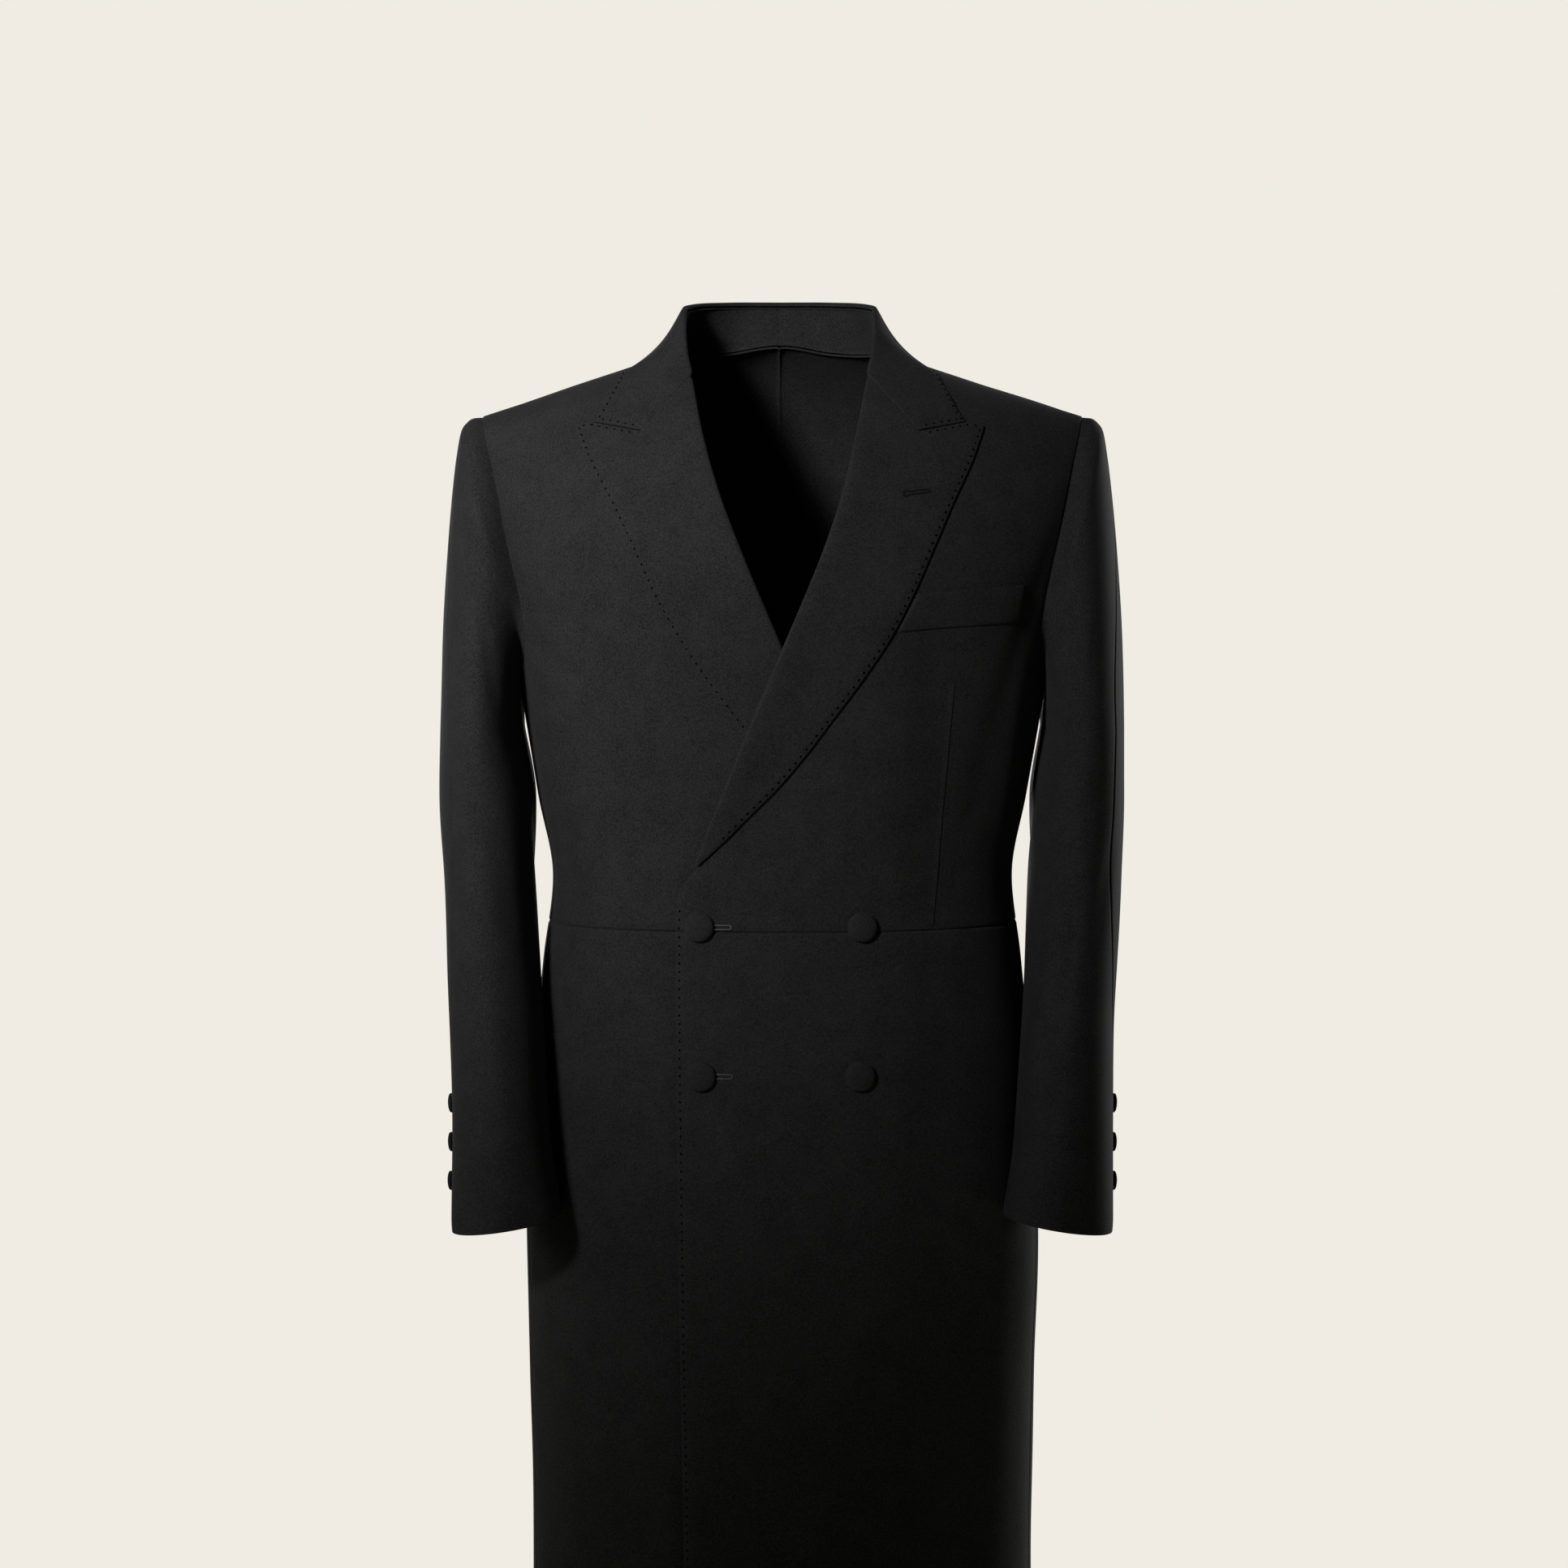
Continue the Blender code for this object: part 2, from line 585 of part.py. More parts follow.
def make_back(side):
    """The back from the centre to the back seam, neck to hem. Below the waist the left back runs on
    past the centre and lies over the right one as the vent."""
    across = shares(8)
    skirt_levels = below_chest(np.append(skirt_heights()[:-1], (VENT_TOP, WAIST_SEAM)))
    body_rows, arm_rows = 7, 7
    lower_seam = back_seam(np.concatenate([skirt_levels[:-1], seam_levels(body_rows)]), HALF_SEAM)
    rounds = BACK_SEAM_ROUND + shares(arm_rows)[1:] * (1 - BACK_SEAM_ROUND)
    inner = np.concatenate([lower_seam, armhole(rounds)])
    inner[len(lower_seam) - 1, 0] = armhole(np.array(BACK_SEAM_ROUND))[0] + HALF_SEAM
    nape = neck_seam(np.array(0.0))
    climb = skirt_levels[-1] + shares(body_rows + arm_rows)[1:] * (nape[1] - skirt_levels[-1])
    levels = np.concatenate([skirt_levels, climb])
    lap = 1 - ease(CHEST_HEIGHT + LEVEL_STEP * levels, VENT_FULL, VENT_TOP)
    past_centre = np.degrees(VENT_LAP / RINGS[0].half_width) * lap if side > 0 else 0 * lap
    outer = np.stack([180 - HALF_SEAM + past_centre, levels], axis=-1)
    seam_columns = 5
    neck_x = read(NECK_SEAM, "x", NECK_POINT_ALONG, "along")
    shoulder_x = SHOULDER_POINT_X + shares(seam_columns) * (neck_x - SHOULDER_POINT_X)
    shoulder = over_place(shoulder_x, 1.0001)
    neck = neck_seam(NECK_POINT_ALONG * (1 - shares(len(across) - 1 - seam_columns)[1:]))
    upper = np.concatenate([shoulder, neck])
    inner[-1] = upper[0]
    upper[-1] = outer[-1]
    lower = line(inner[0], outer[0], across)
    places = patch(inner, outer, lower, upper, across, shares(len(levels) - 1))
    places[-1, :seam_columns + 1, 1] -= SHOULDER_TRIM
    low_rows = 1 - ease(places[..., 1], below_chest(VENT_TOP), below_chest(VENT_TOP) + 0.25)
    over = ease(places[..., 0], 165, 172) * low_rows * LAP_LIFT if side > 0 else 0
    make_wall("back_" + side_name(side), on_body(places, side, over), on_body(places, side, over - CLOTH))


def skirt_heights():
    return HEM + shares(10) * (WAIST_SEAM - SEAM_GAP / 2 - HEM)


def make_skirt(name, side, inner_turns, outer_turns, columns):
    """A skirt panel from the waist seam to the hem, between two upright edges."""
    across = shares(columns)
    levels = below_chest(skirt_heights())
    inner = np.stack([inner_turns + 0 * levels, levels], axis=-1)
    outer = np.stack([outer_turns + 0 * levels, levels], axis=-1)
    lower = line(inner[0], outer[0], across)
    upper = line(inner[-1], outer[-1], across)
    places = patch(inner, outer, lower, upper, across, shares(len(levels) - 1))
    make_panel(name + side_name(side), places, side)


def make_skirts(side):
    heights = skirt_heights()
    front_turns = front_place(front_edge_x(heights), heights)[:, 0]
    seam_turns = back_seam(below_chest(heights), -HALF_SEAM)[:, 0]
    make_skirt("skirt_front_", side, front_turns, SIDE_SEAM_TURN - HALF_SEAM, 12)
    make_skirt("skirt_side_", side, SIDE_SEAM_TURN + HALF_SEAM, seam_turns, 7)


def square_away(leaf):
    """The direction out of a leaf at its first column, square to that edge."""
    out = leaf[:, 0] - leaf[:, 1]
    edge = unit(np.gradient(leaf[:, 0], axis=0))
    return unit(out - np.sum(out * edge, axis=-1, keepdims=True) * edge)


def folded(outer, normals, fold):
    """Both faces of a leaf that turns under at its first column. Outer holds the leaf's upper points
    from the fold out, and fold says row by row how much is folded."""
    away = square_away(outer)
    bends = np.radians((90, 45, 0, -45, -90))[None, :, None]
    axis = outer[:, :1] - FOLD_RADIUS * normals[:, :1]
    out = normals[:, :1]
    over = away[:, None]
    fold = fold[:, None, None]
    inner_radius = FOLD_RADIUS - LEAF

    def arc(radius):
        return axis + radius * (np.cos(bends) * over - np.sin(bends) * out)

    leg = -FOLD_LEG * over
    turned_outer = np.concatenate([arc(FOLD_RADIUS)[:, :1] + leg, arc(FOLD_RADIUS)[:, :-1]], axis=1)
    turned_inner = np.concatenate([arc(inner_radius)[:, :1] + leg, arc(inner_radius)[:, :-1]], axis=1)
    flat = np.linspace(0.0022, 0.0005, turned_outer.shape[1])[None, :, None] * over
    flat_outer = outer[:, :1] + flat
    flat_inner = flat_outer - LEAF * out
    turned_outer = fold * turned_outer + (1 - fold) * flat_outer
    turned_inner = fold * turned_inner + (1 - fold) * flat_inner
    inner = outer - LEAF * normals
    return np.concatenate([turned_outer, outer], axis=1), np.concatenate([turned_inner, inner], axis=1)


def make_lapel(side):
    across = shares(6)
    up = shares(17)
    lie = LAYER_GAP + LEAF
    heights = read(LAPEL_ROWS, "height", up, "share")
    inner = front_place(front_edge_x(heights) + FOLD_SHIFT, heights)
    edge_heights = read(LAPEL_EDGE_ROWS, "height", up, "share")
    outer = front_place(read(LAPEL_EDGE, "x", edge_heights, "height"), edge_heights)
    corners = (GORGE_START, GORGE_MIDDLE, NOTCH, COLLAR_CORNER, PEAK_TIP)
    top_x = np.interp(across, CORNER_SHARES, [corner.x for corner in corners])
    top_height = np.interp(across, CORNER_SHARES, [corner.height for corner in corners])
    upper = front_place(top_x, top_height - NOTCH_GAP)
    inner[-1] = upper[0]
    outer[-1] = upper[-1]
    lower = line(inner[0], outer[0], across)
    places = patch(inner, outer, lower, upper, across, up)
    top = on_body(places, 1, lie, lifted=side > 0)
    normals = body_normal(places[..., 0], places[..., 1])
    outer_face, inner_face = folded(top, normals, np.ones(len(up)))
    make_wall("lapel_" + side_name(side), outer_face * (side, 1, 1), inner_face * (side, 1, 1))


def both_ways(half):
    return np.concatenate([-half[:0:-1], half])


def crease_line(along):
    """The collar's crease, from a front end (-1) round the back (0) to the other end (1)."""
    lie = LAYER_GAP + LEAF
    on_chest = [on_body(over_place(row.x, row.over), -1, lie) * (-1, 1, 1) for row in CREASE_ON_CHEST]
    points = np.array([(row.x, row.y, row.z) for row in CREASE] + on_chest)
    places = [row.along for row in CREASE + CREASE_ON_CHEST]
    curve = [smooth(np.abs(along), places, points[:, axis]) for axis in range(3)]
    return np.stack(curve, axis=-1) * mirror(along)


def mirror(along):
    ones = np.ones_like(along)
    return np.stack([np.sign(along), ones, ones], axis=-1)


def leaf_edge_line(along):
    at = np.abs(along)
    x = read(LEAF_EDGE, "x", at, "along")
    over = read(LEAF_EDGE, "over", at, "along")
    return on_body(over_place(x, over), -1, LAYER_GAP + LEAF) * (-1, 1, 1) * mirror(along)


def grid_normals(points):
    """Outward directions of a grid whose rows run round the neck and columns out from the crease."""
    return unit(np.cross(np.gradient(points, axis=0), np.gradient(points, axis=1)))


def collar_leaf(along, across):
    """The leaf's upper face from the crease to its edge. It stands off the neck at the back and
    lies on the forepart at its two front ends."""
    fold = crease_line(along)
    edge = leaf_edge_line(along)
    straight = fold[:, None] + across[None, :, None] * (edge - fold)[:, None]
    bow = read(LEAF_BOW, "round", np.abs(along), "along")
    bulge = bow[:, None, None] * np.sin(np.pi * across)[None, :, None]
    standing = straight + grid_normals(straight) * bulge
    places = front_place(np.abs(straight[..., 0]), straight[..., 2])
    lying = on_body(places, -1, LAYER_GAP + LEAF) * (-1, 1, 1) * mirror(along)[:, None]
    lie = ease(np.abs(along), 0.60, 0.78)[:, None, None]
    return standing * (1 - lie) + lying * lie


def make_collar():
    along = both_ways(COLLAR_ROWS)
    top = collar_leaf(along, shares(LEAF_COLUMNS))
    fold_share = 1 - ease(np.abs(along), 0.78, 0.80)
    make_wall("collar", *folded(top, grid_normals(top), fold_share))


def make_collar_stand():
    """The stand rises from the neck seam to the crease and ends just under the leaf's turned edge."""
    along = both_ways(COLLAR_ROWS)
    leaf = collar_leaf(along, shares(LEAF_COLUMNS))
    normal = grid_normals(leaf)[:, 0]
    down = -square_away(leaf)
    top = leaf[:, 0] - normal * (2 * FOLD_RADIUS + SEAM_GAP) + down * (FOLD_LEG + 2 * SEAM_GAP)
    stands = np.abs(along) <= STAND_END
    top, along = top[stands], along[stands]
    seam = on_body(neck_seam(np.abs(along)), -1, 3 * SEAM_GAP) * (-1, 1, 1) * mirror(along)
    across = shares(4)[None, :, None]
    neck_face = top[:, None] + across * (seam - top)[:, None]
    make_wall("collar_stand", neck_face, neck_face + grid_normals(neck_face) * CLOTH)


def sleeve_ring(round_share, height):
    """A level section of the sleeve: an ellipse, outermost at a share of 0, foremost at 0.25."""
    angle = 2 * np.pi * round_share
    outer_x = read(SLEEVES, "outer_x", height, "height")
    inner_x = read(SLEEVES, "inner_x", height, "height")
    x = (outer_x + inner_x) / 2 + (outer_x - inner_x) / 2 * np.cos(angle)
    half_depth = read(SLEEVES, "half_depth", height, "height")
    y = read(SLEEVES, "middle_y", height, "height") - half_depth * np.sin(angle)
    return np.stack([x, y, height + 0 * x], axis=-1)


def clear_of_body(points, clearance):
    """Moves points that are too near the body, or in it, straight out from its axis."""
    level = below_chest(np.minimum(points[..., 2], CHEST_HEIGHT))
    half_width = read(RINGS, "half_width", level, "level") + clearance
    forward = read(RINGS, "front", level, "level") + clearance
    backward = read(RINGS, "back", level, "level") + clearance
    y = points[..., 1] - MIDDLE_Y
    depth = np.where(y < 0, forward, backward)
    reach = np.abs(points[..., 0] / half_width) ** SQUARENESS + np.abs(y / depth) ** SQUARENESS
    scale = np.where(reach < 1, reach ** (-1 / SQUARENESS), 1)
    return np.stack([points[..., 0] * scale, MIDDLE_Y + y * scale, points[..., 2]], axis=-1)


def sleeve(round_share, along):
    """The sleeve's outer surface: along is 0 at the armhole, CAP_LENGTH at the top of the straight
    part and 1 at the cuff."""
    round_share, along = np.broadcast_arrays(np.asarray(round_share, float), np.asarray(along, float))
    wrapped = round_share % 1
    places = armhole(wrapped)
    start = body(places[..., 0], places[..., 1])
    ring_top = sleeve_ring(wrapped, np.full_like(wrapped, CAP_END))
    normal = body_normal(places[..., 0], places[..., 1])
    tip = np.clip(np.cos(2 * np.pi * wrapped), 0, 1)[..., None] * (1, 0, 0)
    start = start + SEAM_GAP * unit(ARM_MIDDLE - start) + 2 * SEAM_GAP * normal + 4 * SEAM_GAP * tip
    cap_along = np.clip(along / CAP_LENGTH, 0, 1)
    out = read(CAP, "out", cap_along, "along")
    down = read(CAP, "down", cap_along, "along")
    shares_xyz = np.stack([out, out, down], axis=-1)
    cap = start + (ring_top - start) * shares_xyz
    fall = np.clip((along - CAP_LENGTH) / (1 - CAP_LENGTH), 0, 1)
    cuff = CUFF_HEIGHT - CUFF_SLANT * np.cos(2 * np.pi * wrapped)
    height = CAP_END + fall * (cuff - CAP_END)
    tube = sleeve_ring(wrapped, height)
    points = np.where((along <= CAP_LENGTH)[..., None], cap, tube)
    clearance = 2 * SEAM_GAP + (SLEEVE_CLEARANCE - 2 * SEAM_GAP) * ease(cap_along, 0, 0.6)
    return clear_of_body(points, clearance)


def sleeve_normal(round_share, along):
    """The outward direction there, taken over a few millimetres so that a sharp dent stays whole."""
    down, sideways = 1e-3, 0.03
    ahead, behind = np.minimum(along + down, 1), np.maximum(along - down, 0)
    down_step = sleeve(round_share, ahead) - sleeve(round_share, behind)
    round_step = sleeve(round_share + sideways, along) - sleeve(round_share - sideways, along)
    return unit(np.cross(round_step, down_step))


def sleeve_gap(round_share, along):
    """Half the gap between the two sleeve pieces, as a share of the way round."""
    small = 1e-3
    step = sleeve(round_share + small, along) - sleeve(round_share - small, along)
    return SLEEVE_SEAM_GAP / 2 * 2 * small / np.linalg.norm(step, axis=-1)


def make_sleeve(side):
    along = np.concatenate([CAP_LENGTH * np.array((0, 0.08, 0.18, 0.32, 0.48, 0.65, 0.82)),
                            np.linspace(CAP_LENGTH, 1, 11)])
    hind = read(HIND_SEAM, "round", along, "along")
    fore = read(FORE_SEAM, "round", along, "along")
    hind_gap, fore_gap = sleeve_gap(hind, along), sleeve_gap(fore, along)
    pieces = (("topsleeve_", hind + hind_gap, fore - fore_gap, 11),
              ("undersleeve_", fore + fore_gap, hind + 1 - hind_gap, 9))
    for name, start, end, columns in pieces:
        rounds = start[:, None] + shares(columns)[None] * (end - start)[:, None]
        rows = np.broadcast_to(along[:, None], rounds.shape)
        outer = sleeve(rounds, rows)
        inner = outer - CLOTH * sleeve_normal(rounds, rows)
        inner[0] = outer[0] + CLOTH * unit(ARM_MIDDLE - outer[0])
        make_wall(name + side_name(side), outer * (side, 1, 1), inner * (side, 1, 1))


def make_welt():
    across = shares(6)
    up = shares(2)
    foot = line((WELT_FOOT[0].x, WELT_FOOT[0].height), (WELT_FOOT[1].x, WELT_FOOT[1].height), across)
    top = line((WELT_TOP[0].x, WELT_TOP[0].height), (WELT_TOP[1].x, WELT_TOP[1].height), across)
    flat = (1 - up[:, None, None]) * foot[None] + up[:, None, None] * top[None]
    places = front_place(flat[..., 0], flat[..., 1])
    make_wall("breast_welt", on_body(places, 1, WELT_LIFT + WELT_WALL), on_body(places, 1, WELT_LIFT))


def make_button(name, centre, normal, radius, height, segments):
    """A covered button: a flat back, a rolled edge and a low dome."""
    profile_radius = np.array((0.80, 1.00, 0.95, 0.74, 0.40)) * radius
    profile_height = np.array((0.00, 0.30, 0.62, 0.87, 0.97)) * height
    helper = np.array((0.0, 0.0, 1.0))
    across = unit(np.cross(helper, normal))
    up = np.cross(normal, across)
    angles = np.arange(segments) * 2 * np.pi / segments
    ring = np.cos(angles)[:, None] * across + np.sin(angles)[:, None] * up
    rings = centre + profile_radius[:, None, None] * ring + profile_height[:, None, None] * normal
    points = np.concatenate([rings.reshape(-1, 3), [centre + height * normal]])
    faces = [list(range(segments - 1, -1, -1))]
    for row in range(len(profile_radius) - 1):
        for k in range(segments):
            after = (k + 1) % segments
            low, high = row * segments, (row + 1) * segments
            faces.append((low + k, low + after, high + after, high + k))
    last = (len(profile_radius) - 1) * segments
    tip = len(points) - 1
    faces += [(last + k, last + (k + 1) % segments, tip) for k in range(segments)]
    make_object(name, points, faces, BUTTON_CLOTH, 0.75, 60)


def make_front_buttons():
    for name, place in FRONT_BUTTONS.items():
        where = front_place(place.x, place.height)
        normal = body_normal(where[0], where[1])
        centre = on_body(where, 1, BUTTON_GAP)
        make_button(name, centre, normal, FRONT_BUTTON_RADIUS, FRONT_BUTTON_HEIGHT, 16)


def make_cuff_buttons(side):
    for number, along in enumerate(CUFF_BUTTON_ALONG, 1):
        place = np.array(CUFF_BUTTON_ROUND), np.array(along)
        normal = sleeve_normal(*place) * (side, 1, 1)
        centre = sleeve(*place) * (side, 1, 1) + BUTTON_GAP * normal
        name = f"cuff_button_{side_name(side)}_{number}"
        make_button(name, centre, normal, CUFF_BUTTON_RADIUS, CUFF_BUTTON_HEIGHT, 12)


def main():
    for old in list(bpy.data.objects):
        bpy.data.objects.remove(old)
    for side in (1, -1):
        make_forepart(side)
        make_lapel(side)
        make_side_body(side)
        make_back(side)
        make_skirts(side)
        make_sleeve(side)
        make_cuff_buttons(side)
    make_collar()
    make_collar_stand()
    make_welt()
    make_front_buttons()


main()
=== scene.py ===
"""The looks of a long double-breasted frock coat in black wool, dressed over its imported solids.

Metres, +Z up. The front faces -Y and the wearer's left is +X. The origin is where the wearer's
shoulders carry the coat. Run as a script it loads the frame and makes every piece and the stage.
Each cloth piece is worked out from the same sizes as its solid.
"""

from collections import namedtuple

import bmesh
import bpy
import numpy as np
from bpy.props import FloatProperty, FloatVectorProperty, PointerProperty
from bpy.types import Operator, Panel, PropertyGroup
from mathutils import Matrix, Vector


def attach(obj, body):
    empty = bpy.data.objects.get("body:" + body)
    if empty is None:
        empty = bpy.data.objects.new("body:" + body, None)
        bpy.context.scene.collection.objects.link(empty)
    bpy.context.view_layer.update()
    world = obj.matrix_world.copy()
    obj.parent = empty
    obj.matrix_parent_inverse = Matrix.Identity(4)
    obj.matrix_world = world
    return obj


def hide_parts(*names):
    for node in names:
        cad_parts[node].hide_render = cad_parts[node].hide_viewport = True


bl_info = {
    "name": "Frock coat",
    "version": (1, 0, 0),
    "blender": (4, 5, 0),
    "location": "3D View > Sidebar > Frock coat",
    "description": "Makes a double-breasted wool frock coat piece by piece, with stitches and studio",
    "category": "Add Mesh",
}

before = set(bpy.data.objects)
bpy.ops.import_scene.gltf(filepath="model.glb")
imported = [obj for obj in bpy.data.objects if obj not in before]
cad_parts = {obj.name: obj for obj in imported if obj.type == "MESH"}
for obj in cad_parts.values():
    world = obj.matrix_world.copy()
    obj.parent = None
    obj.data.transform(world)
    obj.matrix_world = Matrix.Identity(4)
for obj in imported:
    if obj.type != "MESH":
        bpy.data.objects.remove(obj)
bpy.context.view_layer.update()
ROOT = "root"

CLOTH = 0.0020  # wall of the body and sleeve cloth
LEAF = 0.0024  # wall of the lapels and the collar leaf, which are two cloths and canvas
SEWN = 0.0004  # sewn neighbours run this much into each other, so that no light comes through
LAYER_GAP = 0.0006  # between a lapel and the forepart that it is pressed down on

# The body of the coat. A level is a place up a panel: a level of 0 is the chest, each whole level
# below it is LEVEL_STEP metres, and levels 0 to 1 climb a quarter ellipse over the shoulder.
CHEST_HEIGHT = -0.200
LEVEL_STEP = 0.25
WAIST_SEAM = -0.450
HEM = -1.140
MIDDLE_Y = 0.010  # the shoulder seam, seen from the side
SQUARENESS = 2.3  # of each ring, where 2 would be an ellipse
SHOULDER_TOP = 0.0174  # height at which both shoulder lines would meet over the neck
SHOULDER_SLOPE = 0.33
SHOULDER_BLEND = 0.020

Ring = namedtuple("Ring", "level half_width front back")
Flute = namedtuple("Flute", "turn spread depth")
Place = namedtuple("Place", "height x")
Turn = namedtuple("Turn", "height turn")
Armhole = namedtuple("Armhole", "round turn level")
Sleeve = namedtuple("Sleeve", "height outer_x inner_x middle_y half_depth")
Cap = namedtuple("Cap", "along out down")
Row = namedtuple("Row", "share height")
Seam = namedtuple("Seam", "along round")
Crease = namedtuple("Crease", "along x y z")
OverPlace = namedtuple("OverPlace", "along x over")
Seen = namedtuple("Seen", "along x height")
Fold = namedtuple("Fold", "turn height end_turn end_height width depth")
Cut = namedtuple("Cut", "width length area")


def table(kind, *rows):
    return tuple(kind(*row) for row in rows)


def below_chest(height):
    return (height - CHEST_HEIGHT) / LEVEL_STEP


RINGS = table(
    Ring,
    (below_chest(HEM), 0.1945, 0.134, 0.13), (below_chest(-0.95), 0.1945, 0.132, 0.131),
    (below_chest(-0.8), 0.197, 0.13, 0.134), (below_chest(-0.69), 0.1998, 0.128, 0.135),
    (below_chest(-0.58), 0.195, 0.125, 0.128), (below_chest(-0.48), 0.186, 0.119, 0.108),
    (below_chest(-0.415), 0.1785, 0.117, 0.095), (below_chest(-0.353), 0.1895, 0.121, 0.102),
    (below_chest(-0.3), 0.1985, 0.127, 0.113), (below_chest(-0.24), 0.209, 0.132, 0.121),
    (0.0, 0.219, 0.135, 0.125), (0.25, 0.2335, 0.136, 0.125), (0.5, 0.2425, 0.136, 0.124),
    (0.75, 0.2495, 0.136, 0.124), (1.0, 0.252, 0.136, 0.124),
)

# Soft folds of the skirts, at these turns on either side, as deep as this at the hem.
FLUTES = table(
    Flute,
    (103.0, 10.0, 0.006), (123.0, 9.0, -0.004), (146.0, 10.0, 0.0065),
)
FLUTE_TOP = -0.560

# The front edge as it is seen, from the hem up to the break of the lapel, and from there the fold
# of the lapel up to the collar. Distances are from the centre line towards the piece's own side.
FRONT_EDGE = table(
    Place,
    (HEM, -0.0715), (-0.95, -0.0745), (-0.75, -0.078), (-0.56, -0.0803), (-0.443, -0.0809),
    (-0.426, -0.0796), (-0.415, -0.0753), (-0.406, -0.0705), (-0.398, -0.0668), (-0.344, -0.0455),
    (-0.295, -0.0263), (-0.234, -0.001), (-0.149, 0.0344), (-0.112, 0.047), (-0.067, 0.0584),
    (-0.027, 0.0666), (0.013, 0.0756),
)
LAPEL_EDGE = table(
    Place,
    (-0.402, -0.0668), (-0.394, -0.0578), (-0.381, -0.0441), (-0.362, -0.0257), (-0.341, -0.0049),
    (-0.314, 0.0178), (-0.287, 0.038), (-0.254, 0.0625), (-0.222, 0.0834), (-0.19, 0.1007),
    (-0.154, 0.117), (-0.124, 0.1308), (-0.092, 0.1468), (-0.0635, 0.1577),
)
LAPEL_FOOT = -0.3990
GORGE_START = Place(-0.0280, 0.0694)
GORGE_MIDDLE = Place(-0.0485, 0.0885)
NOTCH = Place(-0.0690, 0.1067)
COLLAR_CORNER = Place(-0.0623, 0.1427)
PEAK_TIP = Place(-0.0635, 0.1577)
PEAK_ROUNDING = 0.0013
CORNER_SHARES = (0, 0.25, 0.5, 0.86, 1)  # of the lapel's columns, where its top edge turns
NOTCH_GAP = 0.0003  # between the lapel's top edge and the collar's end
# Heights of a panel's rows, at these shares of the way up it.
FOREPART_ROWS = table(
    Row,
    (0.0, WAIST_SEAM - SEWN / 2), (0.15, -0.404), (0.28, -0.345), (0.62, -0.15), (1.0, -0.0385),
)
LAPEL_ROWS = table(
    Row,
    (0.0, LAPEL_FOOT), (0.12, -0.372), (0.6, -0.16), (1.0, GORGE_START.height),
)
LAPEL_EDGE_ROWS = table(
    Row,
    (0.0, LAPEL_FOOT), (0.12, -0.372), (0.6, -0.175), (1.0, PEAK_TIP.height),
)
FOLD_RADIUS = 0.0026
FOLD_SHIFT = 0.0028  # from the seen edge of the fold to its axis
FOREPART_SHIFT = 0.0048  # from the seen edge to the forepart's own edge inside the fold
GORGE_SHIFT = 0.0050  # and this much more where the lapel meets the collar
FOLD_LEG = 0.0010
SHOULDER_POINT_X = 0.2335

SIDE_SEAM_TURN = 80.7
HALF_SEAM = -0.060  # half of SEWN in degrees of turn, at the coat's side
BACK_SEAM = table(
    Turn,
    (HEM, 138.0), (-0.7, 140.0), (-0.5, 145.0), (-0.45, 147.0), (-0.4, 145.5), (-0.34, 138.0),
    (-0.28, 128.0), (-0.218, 116.0),
)
VENT_TOP = -0.472
VENT_FULL = -0.507
VENT_LAP = 0.035

ARMHOLE = table(
    Armhole,
    (0.0, 67.9, 1.0), (0.1, 67.5, 0.6), (0.2, 66.7, 0.3), (0.3, 66.9, 0.08), (0.36, 67.6, -0.04),
    (0.42, 70.9, -0.152), (0.46, 78.0, -0.224), (0.5, 90.0, -0.252), (0.54, 101.0, -0.228),
    (0.59, 110.5, -0.15), (0.65, 116.5, -0.03), (0.72, 118.5, 0.1), (0.82, 117.5, 0.32),
    (0.91, 115.0, 0.62), (1.0, 112.1, 1.0),
)
SIDE_SEAM_ROUND = 0.470  # where the side seam meets the armhole
BACK_SEAM_ROUND = 0.630  # where the back seam meets it

SLEEVES = table(
    Sleeve,
    (-0.68, 0.253, 0.166, -0.088, 0.052), (-0.62, 0.2533, 0.1768, -0.072, 0.058),
    (-0.54, 0.2554, 0.183, -0.047, 0.065), (-0.48, 0.259, 0.1875, -0.022, 0.07),
    (-0.42, 0.2626, 0.1906, -0.002, 0.075), (-0.353, 0.2662, 0.1918, 0.01, 0.081),
    (-0.3, 0.2655, 0.2005, 0.013, 0.088),
)
CAP_END = -0.300
CUFF_HEIGHT = -0.6745
CUFF_SLANT = 0.0065  # the cuff is this much lower outside, and higher next to the body
ARM_MIDDLE = np.array((0.235, 0.012, -0.170))  # of the arm, inside the sleeve head
CAP_LENGTH = 0.38  # share of the sleeve's rows that lies over the shoulder
CAP = table(
    Cap,
    (0.0, 0.0, 0.0), (0.08, 0.26, 0.01), (0.18, 0.45, 0.035), (0.32, 0.58, 0.12), (0.48, 0.7, 0.25),
    (0.65, 0.82, 0.43), (0.82, 0.94, 0.69), (1.0, 1.0, 1.0),
)
HIND_SEAM = table(
    Seam,
    (0.0, -0.16), (0.14, -0.04), (0.28, 0.09), (0.36, 0.125), (0.5, 0.13), (0.7, 0.08),
    (0.86, -0.02), (1.0, -0.06),
)
FORE_SEAM = table(
    Seam,
    (0.0, 0.43), (0.14, 0.47), (0.28, 0.53), (0.36, 0.56), (0.5, 0.57), (0.7, 0.55), (0.86, 0.49),
    (1.0, 0.46),
)
SLEEVE_CLEARANCE = 0.0024  # from the body that the sleeve hangs against
SLEEVE_SUNK = 0.0009  # the sleeve's edge lies this deep beside the armhole's
SLEEVE_ALLOWANCE = 0.006  # and runs on this far under the body's cloth
ROPE_HEIGHT = 0.0012  # of the slight ridge round the sleeve's head
ROPE_MIDDLE = 0.020  # as a share of the sleeve's rows, and so is its width
